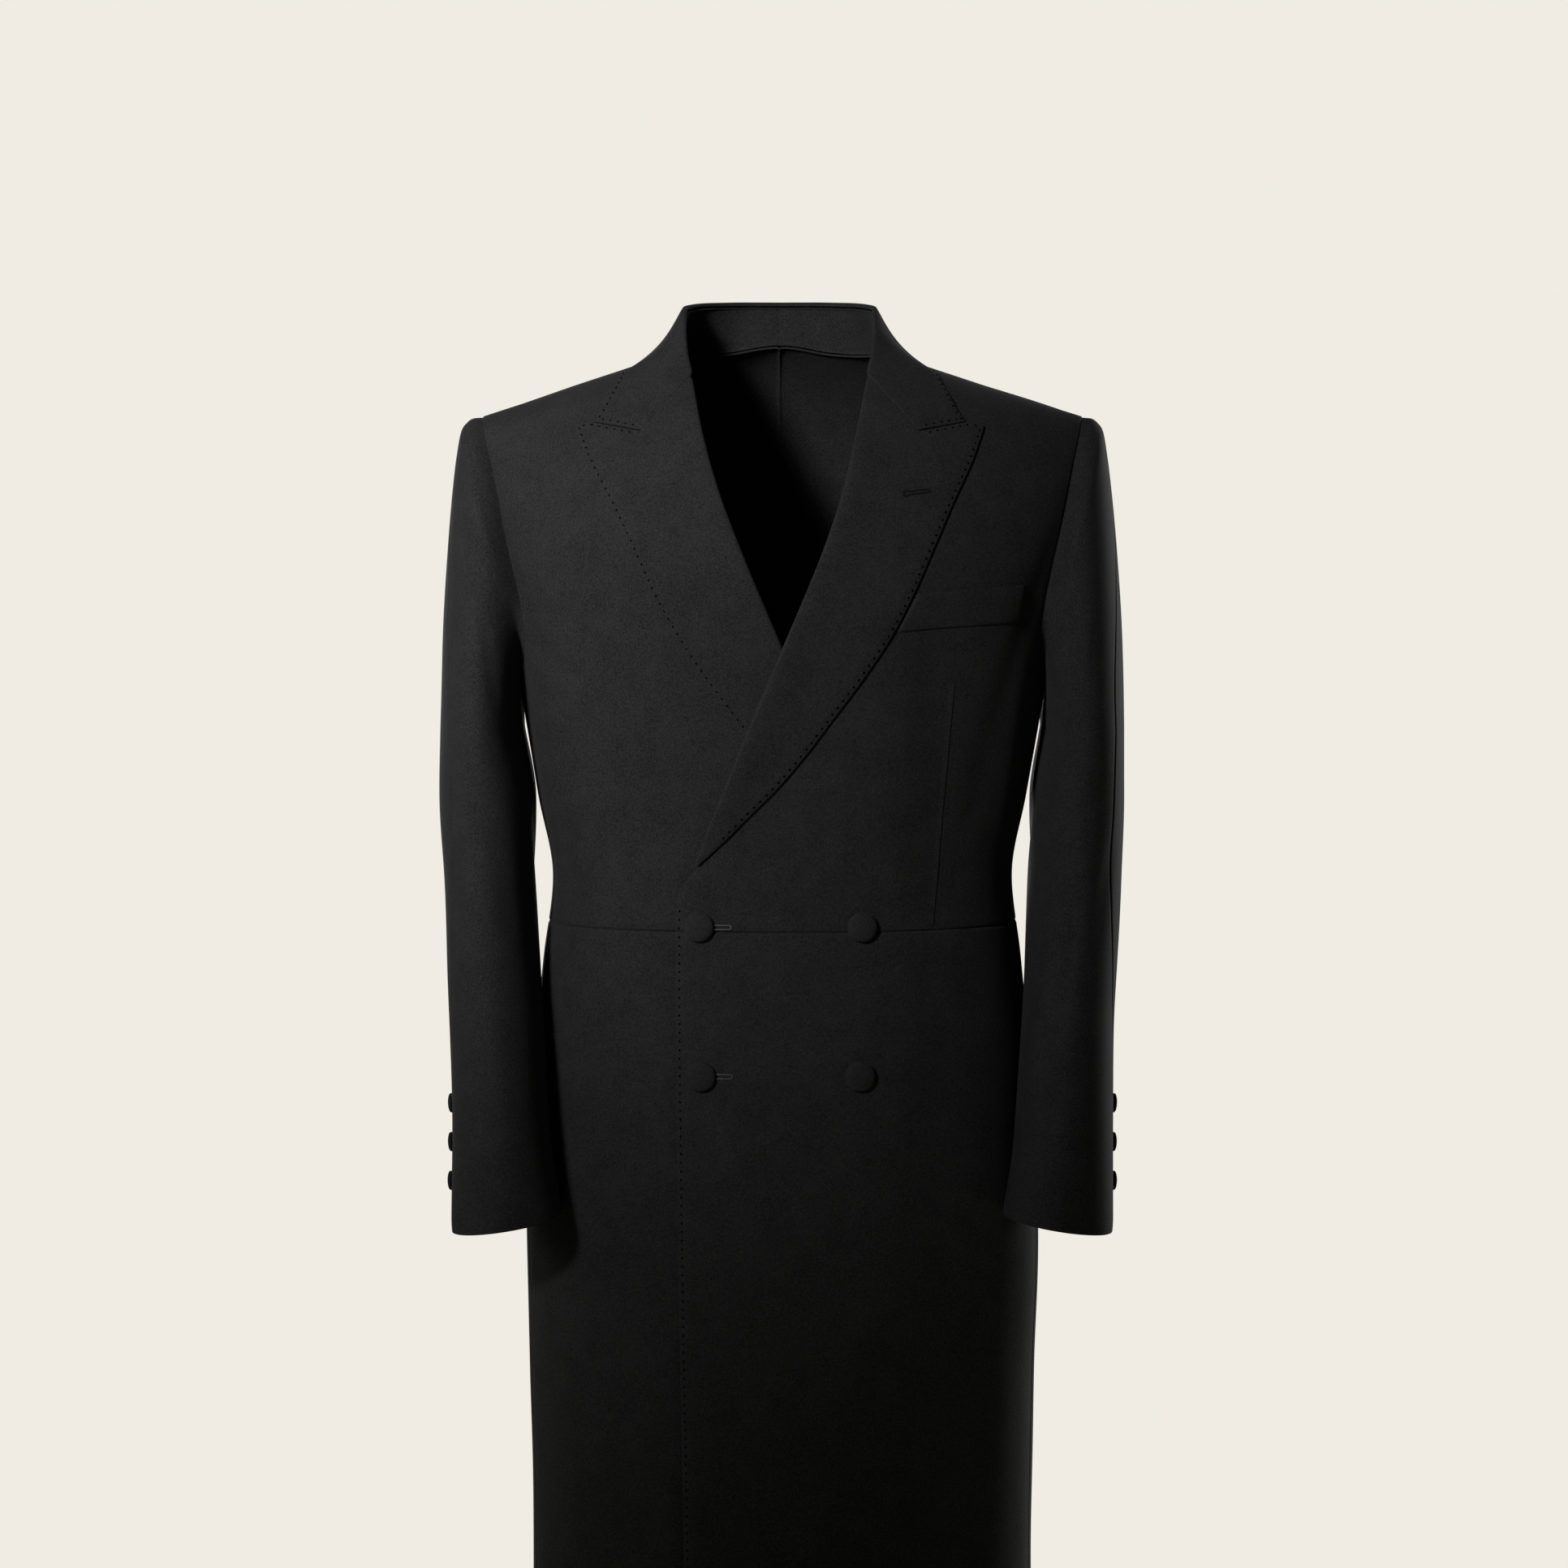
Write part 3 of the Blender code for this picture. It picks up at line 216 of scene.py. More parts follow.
ROPE_WIDTH = 0.018

# The front edge turns down towards what it covers, which is pressed in beside it.
EDGE_TURNED_DOWN = 0.0009
EDGE_TURN_WIDTH = 0.004
UNDER_EDGE_DEPTH = 0.0012
UNDER_EDGE_INSIDE = 0.003
UNDER_EDGE_WIDTH = 0.006

# The roll of a front beside its lapel's fold starts and ends between these heights.
ROLL_STARTS = {1: (-0.400, -0.350), -1: (-0.270, -0.200)}
ROLL_ENDS = (-0.110, -0.050)
ROLL_WIDTH = 0.022

# The cloth's slow waves, which start elsewhere on each side.
WAVE_START = {1: 1.3, -1: 4.1}
CROSSED_WAVE = 0.00035
SLANTED_WAVE = 0.00020

# How far the wearer's left front, which is on top, stands out over what it covers.
LAP_LIFT = 0.0030
LAPEL_LIFT = 0.0032
LAP_FADES = (0.086, 0.125)  # between these distances from the centre line
LAPEL_FADES = (0.070, 0.115)
LAPEL_FOOT_RISES = (-0.440, -0.405)  # between these heights
LIFT_FADES = (-0.222, -0.160)

# Places near the shoulder are given by x and by how far over it they are: 0 is the chest in front,
# 1 the shoulder line and 2 the chest height behind. Shares of the way run from the centre back to
# the collar's front end.
NECK_SEAM = table(
    OverPlace,
    (0.0, 0.0, 1.24), (0.14, 0.03, 1.232), (0.28, 0.059, 1.18), (0.4, 0.076, 1.09),
    (0.48, 0.081, 1.0), (0.6, 0.08, 0.9), (0.7, 0.0765, 0.815),
)
NECK_POINT_ALONG = 0.48
GORGE_ALONG = 0.70  # where the forepart's neck edge ends
CREASE = table(
    Crease,
    (0.0, 0.0, 0.063, 0.0285), (0.14, 0.029, 0.0585, 0.0285), (0.28, 0.0545, 0.044, 0.028),
    (0.4, 0.07, 0.024, 0.0265), (0.5, 0.0755, 0.004, 0.024), (0.6, 0.0752, -0.015, 0.011),
    (0.7, 0.073, -0.035, -0.0085),
)
# How far the leaf's middle stands out of straight: it bows a little at the back and dips on its way
# down to each shoulder.
LEAF_BOW = table(
    Seam,
    (0.0, 0.002), (0.2, 0.0012), (0.36, -0.003), (0.5, -0.0046), (0.62, -0.003), (0.78, 0.0),
    (1.0, 0.0),
)
# The collar's two lines again, where they lie on the chest, as they are seen from the front.
CREASE_ON_CHEST = table(
    Seen,
    (0.78, 0.069, -0.0262), (0.82, 0.0722, -0.03), (0.91, 0.0883, -0.0481), (1.0, 0.1067, -0.0684),
)
LEAF_EDGE_ON_CHEST = table(
    Seen,
    (0.6, 0.1203, -0.0235), (0.7, 0.1268, -0.035), (0.78, 0.1313, -0.043), (0.82, 0.1335, -0.0475),
    (0.91, 0.138, -0.0555), (1.0, 0.1424, -0.0617),
)
LEAF_EDGE = table(
    OverPlace,
    (0.0, 0.0, 1.38), (0.14, 0.042, 1.35), (0.28, 0.084, 1.28), (0.4, 0.109, 1.17),
    (0.5, 0.117, 1.02),
)
STAND_END = 0.62  # share of the way round where the stand ends, on both sides
LEAF_LIES = (0.70, 0.84)  # between these shares the leaf comes down to lie on the forepart
FOLD_OPENS = (0.76, 0.80)  # and between these its fold ends, for the gorge seam
LEAF_EDGE_SUNK = 0.0006  # its edge lies this much deeper than the lapel's

WELT_TOP = (Place(-0.1928, 0.1010), Place(-0.1872, 0.1852))
WELT_FOOT = (Place(-0.2216, 0.0850), Place(-0.2164, 0.1809))
WELT_WALL = 0.0012
WELT_SUNK = 0.0006  # of its under face in the forepart
WELT_LIFT = 0.0007  # of its top edge, which is free

FRONT_BUTTON_RADIUS = 0.0115
FRONT_BUTTON_HEIGHT = 0.0062
FRONT_BUTTONS = {
    "button_upper_outer": Place(-0.4460, -0.0625),
    "button_upper_inner": Place(-0.4460, 0.0600),
    "button_lower_outer": Place(-0.5593, -0.0612),
    "button_lower_inner": Place(-0.5593, 0.0585),
}
CUFF_BUTTON_RADIUS = 0.0075
CUFF_BUTTON_HEIGHT = 0.0036
CUFF_BUTTON_ALONG = (0.846, 0.893, 0.940)  # down the sleeve's rows
CUFF_BUTTON_ROUND = -0.022
BUTTON_GAP = 0.0002
ROLLED_EDGE = 0.30  # radius of a button's rolled edge, as a share of its height

# Soft troughs (below zero) and ridges in the cloth. On the body a place is a turn and a height, where
# heights over the chest run on up the shoulder. Widths and depths are in metres.
BODY_FOLDS = table(
    Fold,
    (60.0, -0.215, 47.0, -0.42, 0.017, -0.0012), (63.0, -0.25, 66.0, -0.42, 0.013, 0.001),
    (66.0, -0.12, 58.0, -0.26, 0.015, -0.0014), (20.0, -0.43, 52.0, -0.395, 0.01, 0.0007),
    (12.0, -0.405, 44.0, -0.35, 0.012, -0.0007), (34.0, -0.52, 40.0, -1.08, 0.03, -0.0012),
    (58.0, -0.5, 55.0, -1.1, 0.026, 0.0014), (118.0, -0.09, 146.0, -0.33, 0.02, -0.003),
    (126.0, -0.06, 160.0, -0.26, 0.018, 0.0016), (138.0, -0.4, 172.0, -0.432, 0.011, -0.002),
    (142.0, -0.372, 168.0, -0.396, 0.01, 0.0014), (96.0, -0.33, 122.0, -0.418, 0.012, -0.0018),
    (162.0, -0.56, 160.0, -1.0, 0.024, -0.0022),
)
# On a sleeve a place is a share of the way round and a height.
SLEEVE_FOLDS_LEFT = table(
    Fold,
    (0.245, -0.185, 0.335, -0.262, 0.008, -0.0016), (0.215, -0.215, 0.3, -0.292, 0.007, 0.001),
    (0.25, -0.425, 0.3, -0.53, 0.01, -0.0022), (0.3, -0.53, 0.385, -0.592, 0.01, -0.0024),
    (0.345, -0.45, 0.39, -0.56, 0.009, 0.0015), (0.12, -0.38, 0.2, -0.47, 0.013, -0.0012),
    (0.9, -0.39, 0.76, -0.34, 0.012, -0.0022), (0.89, -0.43, 0.74, -0.41, 0.011, -0.0018),
    (0.7, -0.25, 0.62, -0.34, 0.012, -0.0026), (0.46, -0.35, 0.58, -0.43, 0.011, -0.0022),
)
SLEEVE_FOLDS_RIGHT = table(
    Fold,
    (0.235, -0.2, 0.33, -0.285, 0.009, -0.0013), (0.15, -0.47, 0.24, -0.56, 0.012, -0.0018),
    (0.2, -0.52, 0.3, -0.59, 0.012, 0.0012), (0.26, -0.35, 0.33, -0.45, 0.012, -0.0012),
    (0.88, -0.4, 0.75, -0.355, 0.012, -0.002), (0.89, -0.455, 0.76, -0.43, 0.011, -0.0018),
    (0.69, -0.24, 0.61, -0.33, 0.012, -0.0024), (0.45, -0.36, 0.57, -0.44, 0.011, -0.002),
)
METRES_PER_TURN = 0.0034  # along the body, for one degree
SLEEVE_ROUND = 0.40  # metres round a sleeve

LIE = LAYER_GAP + LEAF  # the lapel's upper face over the forepart's

# The dart in each forepart, from its upper end down to the waist seam.
DART = (Place(-0.2550, 0.1315), Place(-0.3490, 0.1232), Place(-0.4465, 0.1150))

FRONT_BUTTONHOLES = {
    "buttonhole_upper": (Place(-0.4462, -0.0545), Place(-0.4462, -0.0385)),
    "buttonhole_lower": (Place(-0.5593, -0.0532), Place(-0.5593, -0.0375)),
}
LAPEL_BUTTONHOLE = (Place(-0.1172, 0.0925), Place(-0.1150, 0.1128))
HOLE_LIE = 0.0004  # of the cord's middle over the cloth
HOLE_HALF_WIDTH = 0.0016
LAPEL_HOLE_LIE = 0.0001
LAPEL_HOLE_HALF_WIDTH = 0.0012
EYELET = 0.0011  # how much wider on each side the lapel's buttonhole is at one end


def linear(hex_colour):
    """An sRGB hex colour as linear red, green, blue and a full alpha."""
    channels = np.array([int(hex_colour[start:start + 2], 16) / 255 for start in (1, 3, 5)])
    bent = ((channels + 0.055) / 1.055) ** 2.4
    return (*np.where(channels <= 0.04045, channels / 12.92, bent).tolist(), 1.0)


def length(name, description, value):
    return FloatProperty(name=name, description=description, default=value, unit="LENGTH")


def colour(name, description, hex_colour):
    return FloatVectorProperty(name=name, description=description, subtype="COLOR", size=4,
                               default=linear(hex_colour))


class FROCKCOAT_PG_sizes(PropertyGroup):
    """Sizes that a user would change, in metres"""

    cloth: length("Cloth", "Thickness of the body cloth with its canvas", CLOTH)
    leaf: length("Leaf", "Thickness of the lapels and the collar leaf", LEAF)
    seam_depth: length("Seam depth", "How far a seam sinks into the cloth", 0.0012)
    seam_width: length("Seam width", "Half the width of that sunk line", 0.0012)
    roll: length("Lapel roll", "How far the lapel's fold stands off the chest", 0.0040)
    stitch_pitch: length("Stitch pitch", "From one prick stitch to the next", 0.0066)
    stitch_inset: length("Stitch inset", "From the edge in to the prick stitches", 0.0030)
    stitch_length: length("Stitch length", "Of one prick stitch", 0.0020)


class FROCKCOAT_PG_colours(PropertyGroup):
    """Colours that a user would change"""

    wool: colour("Wool", "The black wool where it is darkest", "#121212")
    wool_pale: colour("Wool, pale", "The same wool's palest fibres", "#313131")
    twist: colour("Buttonhole twist", "Silk twist of the buttonholes", "#464646")
    # Near black, darker than the darkest wool: the silk's own black plus painted shade of the pit each
    # prick stitch sinks in.
    silk: colour("Stitching silk", "Silk of the prick stitches", "#020202")
    backdrop: colour("Backdrop", "The pale room behind the coat", "#f0ece3")


def sizes():
    return bpy.context.scene.frock_coat_sizes


def colours():
    return bpy.context.scene.frock_coat_colours


# Shapes

def smooth(at, places, values):
    """A cubic curve through the values that never overshoots them (harmonic mean slopes)."""
    places = np.asarray(places, float)
    values = np.asarray(values, float)
    at = np.clip(at, places[0], places[-1])
    steps = np.diff(places)
    slopes = np.diff(values) / steps
    tangents = np.zeros_like(values)
    tangents[0] = slopes[0]
    tangents[-1] = slopes[-1]
    same_way = slopes[:-1] * slopes[1:] > 0
    product = 2 * slopes[:-1] * slopes[1:]
    total = slopes[:-1] + slopes[1:]
    np.divide(product, total, out=tangents[1:-1], where=same_way)
    cell = np.clip(np.searchsorted(places, at, side="right") - 1, 0, len(steps) - 1)
    t = (at - places[cell]) / steps[cell]
    start = (1 + 2 * t) * (1 - t) ** 2 * values[cell]
    leaving = t * (1 - t) ** 2 * steps[cell] * tangents[cell]
    end = t**2 * (3 - 2 * t) * values[cell + 1]
    arriving = t**2 * (t - 1) * steps[cell] * tangents[cell + 1]
    return start + leaving + end + arriving


def read(rows, column, at):
    """A table's column at places given in its first column."""
    return smooth(at, [row[0] for row in rows], [getattr(row, column) for row in rows])


def ease(value, start, end):
    """0 at start, 1 at end, with level ends."""
    t = np.clip((np.asarray(value, float) - start) / (end - start), 0, 1)
    return t * t * (3 - 2 * t)


def bell(distance, width):
    """1 at no distance, and about a third at its width."""
    return np.exp(-((distance / width) ** 2))


def joined(*parts):
    return np.stack(parts, axis=-1)


def pair(first, second):
    return np.broadcast_arrays(np.asarray(first, float), np.asarray(second, float))


def unit(vectors):
    return vectors / np.linalg.norm(vectors, axis=-1, keepdims=True)


def shoulder_height(x):
    return SHOULDER_TOP - SHOULDER_SLOPE * np.hypot(x, SHOULDER_BLEND)


def flute_depth(turn, level):
    """How far the skirts' folds stand out there: nothing at FLUTE_TOP, and more and more below."""
    fall = np.clip((FLUTE_TOP - CHEST_HEIGHT - LEVEL_STEP * level) / (FLUTE_TOP - HEM), 0, 1)
    waves = [row.depth * bell(turn - row.turn, row.spread) for row in FLUTES]
    return sum(waves) * fall**1.5


def body(places):
    """Points of the coat's outer surface at turns and levels. Turn is degrees round it: 0 centre
    front, 90 the side, 180 centre back. Each level is a superellipse, and above the chest it closes
    as a quarter ellipse."""
    turn, level = places[..., 0], places[..., 1]
    angle = np.radians(turn)
    flute = flute_depth(turn, level)
    x = (read(RINGS, "half_width", level) + flute) * np.sin(angle)
    forward = read(RINGS, "front", level)
    backward = read(RINGS, "back", level) + flute
    depth = np.clip(1 - np.abs(np.sin(angle)) ** SQUARENESS, 0, None) ** (1 / SQUARENESS)
    climb = np.clip(level, 0, 1) * np.pi / 2
    closing = np.cos(climb)
    y = MIDDLE_Y + np.where(np.cos(angle) > 0, -forward, backward) * depth * closing
    rise = (shoulder_height(x) - CHEST_HEIGHT) * np.sin(climb)
    z = CHEST_HEIGHT + LEVEL_STEP * np.minimum(level, 0) + rise
    return joined(x, y, z)


def body_normal(places):
    """The outward direction there, from two short steps on the surface."""
    small = 1e-3
    places = joined(places[..., 0], np.minimum(places[..., 1], 1 - small))
    aside, up = (small * 50, 0), (0, small)
    round_step = body(places + aside) - body(places - aside)
    return unit(np.cross(round_step, body(places + up) - body(places - up)))


def turn_at(x, level):
    return np.degrees(np.arcsin(np.clip(x / read(RINGS, "half_width", level), -1, 1)))


def front_place(x, height):
    """The turn and level of a place in the front view."""
    x, height = pair(x, height)
    climb = (height - CHEST_HEIGHT) / (shoulder_height(x) - CHEST_HEIGHT)
    over = np.arcsin(np.clip(climb, 0, 1)) * 2 / np.pi
    level = np.where(climb > 0, over, below_chest(height))
    return joined(turn_at(x, level), level)


def lifted_place(x, height, lift):
    """The turn and level whose point, moved out by lift, is seen from the front at x and height."""
    start = front_place(x, height)
    normal = body_normal(start)
    return front_place(x - lift * normal[..., 0], height - lift * normal[..., 2])


def top_lift(points):
    """How far the wearer's left front stands out: over the right front where they lap, and more
    over the hidden foot of the right lapel."""
    x, height = points[..., 0], points[..., 2]
    lap = LAP_LIFT * (1 - ease(x, *LAP_FADES))
    lapel = LAPEL_LIFT * (1 - ease(x, *LAPEL_FADES)) * ease(height, *LAPEL_FOOT_RISES)
    return (lap + lapel) * (1 - ease(height, *LIFT_FADES))


def patch(inner, outer, upper, across, up):
    """A four-sided panel's turns and levels: straight lines across from its inner to its outer edge,
    which bend the way its upper edge does, the more the higher they are."""
    u = across[None, :, None]
    straight_top = (1 - u) * upper[0] + u * upper[-1]
    return (1 - u) * inner[:, None] + u * outer[:, None] + up[:, None, None] * (upper - straight_top)


def over_place(x, over):
    """The turn and level of a place given by x and by how far over the shoulder it is."""
    x, over = pair(x, over)
    level = 1 - np.abs(over - 1)
    turn = turn_at(x, level)
    return joined(np.where(over > 1, 180 - turn, turn), level)


def neck_seam(along):
    return over_place(read(NECK_SEAM, "x", along), read(NECK_SEAM, "over", along))


def shares(count):
    return np.linspace(0, 1, count + 1)


def line(start, end, at):
    """Places on a straight line between two pairs of numbers."""
    return np.asarray(start) + at[:, None] * (np.asarray(end) - np.asarray(start))


def soft_folds(across, up, folds, across_scale):
    """The sum of each fold's depth times a bell of the distance from its line, fading at its ends."""
    total = np.zeros(np.broadcast(across, up).shape)
    for fold in folds:
        run = (fold.end_turn - fold.turn) * across_scale, fold.end_height - fold.height
        aside, above = (across - fold.turn) * across_scale, up - fold.height
        share = np.clip((aside * run[0] + above * run[1]) / (run[0] ** 2 + run[1] ** 2), 0, 1)
        distance = np.hypot(aside - share * run[0], above - share * run[1])
        fading = 1 - 0.7 * np.abs(2 * share - 1) ** 2
        total += fold.depth * fading * bell(distance, fold.width)
    return total


def unevenness(across, up, side):
    """Slow waves of about half a millimetre, different on each side, which keep the cloth from
    looking machined: two crossed sines and a slanted one."""
    start = WAVE_START[side]
    crossed = np.sin(across * 37 + start) * np.sin(up * 31 + 2 * start)
    slanted = np.sin(across * 21 + up * 43 + start)
    return CROSSED_WAVE * crossed + SLANTED_WAVE * slanted


def lapel_roll(x, height, side):
    """How far a front stands off the chest beside its lapel's fold: a bell of the distance from the
    fold, faded out above and below. The right one also lies flat where the left covers it."""
    window = ease(height, *ROLL_STARTS[side]) * (1 - ease(height, *ROLL_ENDS))
    return sizes().roll * window * bell(x - front_edge_x(height), ROLL_WIDTH)


def drape(places, points, side):
    """How far the draped cloth stands out from the plain form at these places."""
    turn, level = places[..., 0], places[..., 1]
    x, height = points[..., 0], points[..., 2]
    run_up = CHEST_HEIGHT + LEVEL_STEP * level
    out = soft_folds(turn, run_up, BODY_FOLDS, METRES_PER_TURN)
    out = out + unevenness(turn * METRES_PER_TURN, run_up, side)
    front = np.cos(np.radians(turn)) > 0
    roll = lapel_roll(x, height, side)
    past_edge = side * x - front_edge_x(height)
    covered = 1 - ease(height, LAPEL_FOOT - 0.006, LAPEL_FOOT + 0.006)
    if side > 0:
        roll = roll + top_lift(points) - EDGE_TURNED_DOWN * covered * bell(past_edge, EDGE_TURN_WIDTH)
    else:
        roll = roll - UNDER_EDGE_DEPTH * covered * bell(past_edge - UNDER_EDGE_INSIDE, UNDER_EDGE_WIDTH)
    return out * flat_near_centre(turn) + np.where(front, roll, 0)


def flat_near_centre(turn):
    """Folds fade out where the two sides meet, so that neighbours match."""
    return ease(180 - np.abs(turn), 0.5, 9.0)


def on_body(places, side, offset):
    """Points of the draped coat at these turns and levels, moved out along the surface's normal."""
    points = body(places)
    normals = body_normal(places)
    out = drape(places, points, side) + np.asarray(offset, float)
    return (points + normals * out[..., None]) * (side, 1, 1)


def thicken(values, low=True, high=True):
    """More rows close to the first and the last one, where the cloth rounds off and the seams
    sink. They lie on the straight lines between the first two rows, or the last two."""
    steps = np.array((0.04, 0.12, 0.24, 0.42, 0.66)).reshape(-1, *[1] * (values.ndim - 1))
    after = values[0] + steps * (values[1] - values[0])
    before = values[-1] + steps[::-1] * (values[-2] - values[-1])
    after, before = after[:len(steps) * low], before[:len(steps) * high]
    return np.concatenate([values[:1], after, values[1:-1], before, values[-1:]])


def refine(grid, low_columns=True):
    """A grid thickened both ways."""
    columns = np.swapaxes(thicken(grid), 0, 1)
    return np.swapaxes(thicken(columns, low_columns), 0, 1)


def running_length(points, axis):
    """Distance along a grid's rows or columns from its first one."""
    steps = np.linalg.norm(np.diff(points, axis=axis), axis=-1)
    start = np.zeros_like(np.take(steps, [0], axis=axis))
    return np.concatenate([start, np.cumsum(steps, axis=axis)], axis=axis)


EDGES = ("first column", "last column", "first row", "last row")
PRESSED_WIDTH = 0.005
PRESSED_THINNER = 0.30
SEWN_SHARPER = 0.3  # how much less far a sewn edge's rounding reaches
EDGE_WALL = 0.12  # share of the wall that is left at the very edge


def sewn(*edges):
    return dict.fromkeys(edges, 1.0)


def soften_edges(outer, inner, seams):
    """A wall's two faces with half-round edges. Seams gives edges that are sewn, each with 1 or the
    share of it along the edge: they are less round, and sink as a bell of the distance from them,
    so that two neighbours make a pressed seam. Free edges are pressed thinner, from above."""
    middle, half = (outer + inner) / 2, (outer - inner) / 2
    reach = np.linalg.norm(half, axis=-1)
    sideways, upwards = running_length(middle, 1), running_length(middle, 0)
    distances = sideways, sideways[:, -1:] - sideways, upwards, upwards[-1:] - upwards
    near, sunk, pressed = np.ones_like(reach), np.zeros_like(reach), np.zeros_like(reach)
    for edge, distance in zip(EDGES, distances):
        seam = seams.get(edge, 0.0)
        near = np.minimum(near, distance / (reach * (1 - SEWN_SHARPER * seam)))
        sunk = sunk + seam * bell(distance, sizes().seam_width)
        pressed = np.maximum(pressed, (1 - seam) * bell(distance, PRESSED_WIDTH))
    rounding = EDGE_WALL + (1 - EDGE_WALL) * np.sqrt(1 - (1 - near) ** 2)
    down = sizes().seam_depth * sunk + PRESSED_THINNER * pressed * reach
    middle = middle - half / reach[..., None] * down[..., None]
    half = half * ((1 - PRESSED_THINNER * pressed) * rounding)[..., None]
    return middle + half, middle - half


def grid_faces(rows, columns, start=0):
    """Quads of a grid whose points run row by row."""
    low = np.arange(rows - 1)[:, None] * columns + np.arange(columns - 1)[None] + start
    quads = joined(low, low + 1, low + columns + 1, low + columns)
    return quads.reshape(-1, 4)


def rim_faces(rows, columns):
    """Quads that join the outer and the inner grid all round their edge."""
    index = np.arange(rows * columns).reshape(rows, columns)
    ring = np.concatenate([index[0, :-1], index[:-1, -1], index[-1, :0:-1], index[:0:-1, 0]])
    after = np.roll(ring, -1)
    under = rows * columns
    return joined(ring, ring + under, after + under, after)


def circle(count):
    return np.arange(count) * 2 * np.pi / count


def ring_faces(rows, columns, closed=False):
    """Quads between rows of points that are rings. Closed rows run round as well, as on a torus."""
    here = np.arange(rows * columns).reshape(rows, columns)
    beside = np.roll(here, -1, axis=1)
    quads = joined(here, beside, np.roll(beside, -1, axis=0), np.roll(here, -1, axis=0))
    return quads[:rows if closed else rows - 1].reshape(-1, 4)


def outward(points, faces):
    """The quads turned so that the volume they enclose is above zero."""
    a, b, c, d = (points[faces[:, corner]] for corner in range(4))
    volume = np.sum(a * (np.cross(b, c) + np.cross(c, d)))
    return faces if volume > 0 else faces[:, ::-1]


NECK_SHIFT = 0.0021
SHIFT_RISES = (-0.170, -0.060)  # between these heights
SHIFT_FADES = (0.150, 0.205)  # between these distances from the centre line


def settle(points):
    """The collar and the lapels' upper ends sit a little towards the wearer's right."""
    high = ease(points[..., 2], *SHIFT_RISES)
    inside = 1 - ease(np.abs(points[..., 0]), *SHIFT_FADES)
    return points + (high * inside * -NECK_SHIFT)[..., None] * (1, 0, 0)


def make_piece(name, points, faces, material, uv=None):
    """A smooth mesh object from arrays. The uv map is in metres along the cloth."""
    mesh = bpy.data.meshes.new(name)
    mesh.from_pydata(settle(points.reshape(-1, 3)).tolist(), [], faces.tolist())
    mesh.shade_smooth()
    if uv is not None:
        corners = np.empty(len(mesh.loops), dtype=np.int32)
        mesh.loops.foreach_get("vertex_index", corners)
        layer = mesh.uv_layers.new(name="cloth")
        layer.data.foreach_set("uv", uv.reshape(-1, 2)[corners].astype(np.float32).ravel())
    mesh.materials.append(material)
    return add_object(name, mesh)


def closed_cloth(outer, inner):
    """The points, quads and uv of a closed piece of cloth, from its two faces."""
    rows, columns = outer.shape[:2]
    points = np.concatenate([outer.reshape(-1, 3), inner.reshape(-1, 3)])
    under = grid_faces(rows, columns, rows * columns)[:, ::-1]
    faces = np.concatenate([grid_faces(rows, columns), under, rim_faces(rows, columns)])
    uv = joined(running_length(outer, 1), running_length(outer, 0)).reshape(-1, 2)
    return points, outward(points, faces), np.concatenate([uv, uv])


def cloth_piece(node, outer, inner, seams):
    """A cut piece that stands for its node, which it hides, and rides on the coat's root."""
    points, faces, uv = closed_cloth(*soften_edges(outer, inner, seams))
    piece = make_piece(node + "_cloth", points, faces, wool(), uv)
    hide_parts(node)
    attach(piece, ROOT)
    return piece


def panel(node, places, side, seams, low=0.0):
    """A panel whose outer face is the draped body at these places, moved out by low."""
    places = refine(places)
    low = low(places) if callable(low) else low
    outer = on_body(places, side, low)
    cloth_piece(node, outer, on_body(places, side, low - sizes().cloth), seams)


def side_name(side):
    return "left" if side > 0 else "right"


def front_edge_x(height):
    return read(FRONT_EDGE, "x", height)


def forepart_edge(height):
    """The forepart's own front edge, which starts inside the lapel's fold above the break."""
    shift = FOREPART_SHIFT * ease(height, LAPEL_FOOT - 0.014, LAPEL_FOOT - 0.003)
    shift = shift + GORGE_SHIFT * ease(height, PEAK_TIP.height - 0.012, FOREPART_ROWS[-1].height)
    return front_place(front_edge_x(height) + shift, height)


def armhole(round_share):
    turn = read(ARMHOLE, "turn", round_share)
    level = read(ARMHOLE, "level", round_share)
    return joined(turn, level)


def seam_levels(count):
    """Levels from just over the waist seam to where the back seam meets the armhole."""
    foot = below_chest(WAIST_SEAM - SEWN / 2)
    return foot + shares(count) * (armhole(np.array(BACK_SEAM_ROUND))[1] - foot)


def back_seam(levels, gap):
    heights = CHEST_HEIGHT + LEVEL_STEP * levels
    return joined(read(BACK_SEAM, "turn", heights) + gap, levels)


def make_forepart(side):
    """Four edges, the front, the side seam with the armhole, the waist and the shoulder, blended."""
    edge_rows, neck_rows, seam_rows, arm_rows = 102, 18, 54, 66
    edge = forepart_edge(read(FOREPART_ROWS, "height", shares(edge_rows)))
    neck = neck_seam(GORGE_ALONG + shares(neck_rows)[1:] * (NECK_POINT_ALONG - GORGE_ALONG))
    inner = np.concatenate([edge, neck])
    seam_top = armhole(np.array(SIDE_SEAM_ROUND))[1]
    seam_turn = SIDE_SEAM_TURN - HALF_SEAM
    foot = below_chest(FOREPART_ROWS[0].height)
    side_seam = line((seam_turn, foot), (seam_turn, seam_top), shares(seam_rows))
    outer = np.concatenate([side_seam, armhole(SIDE_SEAM_ROUND * (1 - shares(arm_rows)[1:]))])
    across = shares(72)
    upper_x = read(NECK_SEAM, "x", NECK_POINT_ALONG)
    upper = over_place(upper_x + across * (SHOULDER_POINT_X - upper_x), 1)
    inner[-1], outer[-1] = upper[0], upper[-1]
    places = patch(inner, outer, upper, across, shares(edge_rows + neck_rows))
    seams = sewn("last column", "first row", "last row")
    panel("forepart_" + side_name(side), places, side, seams)


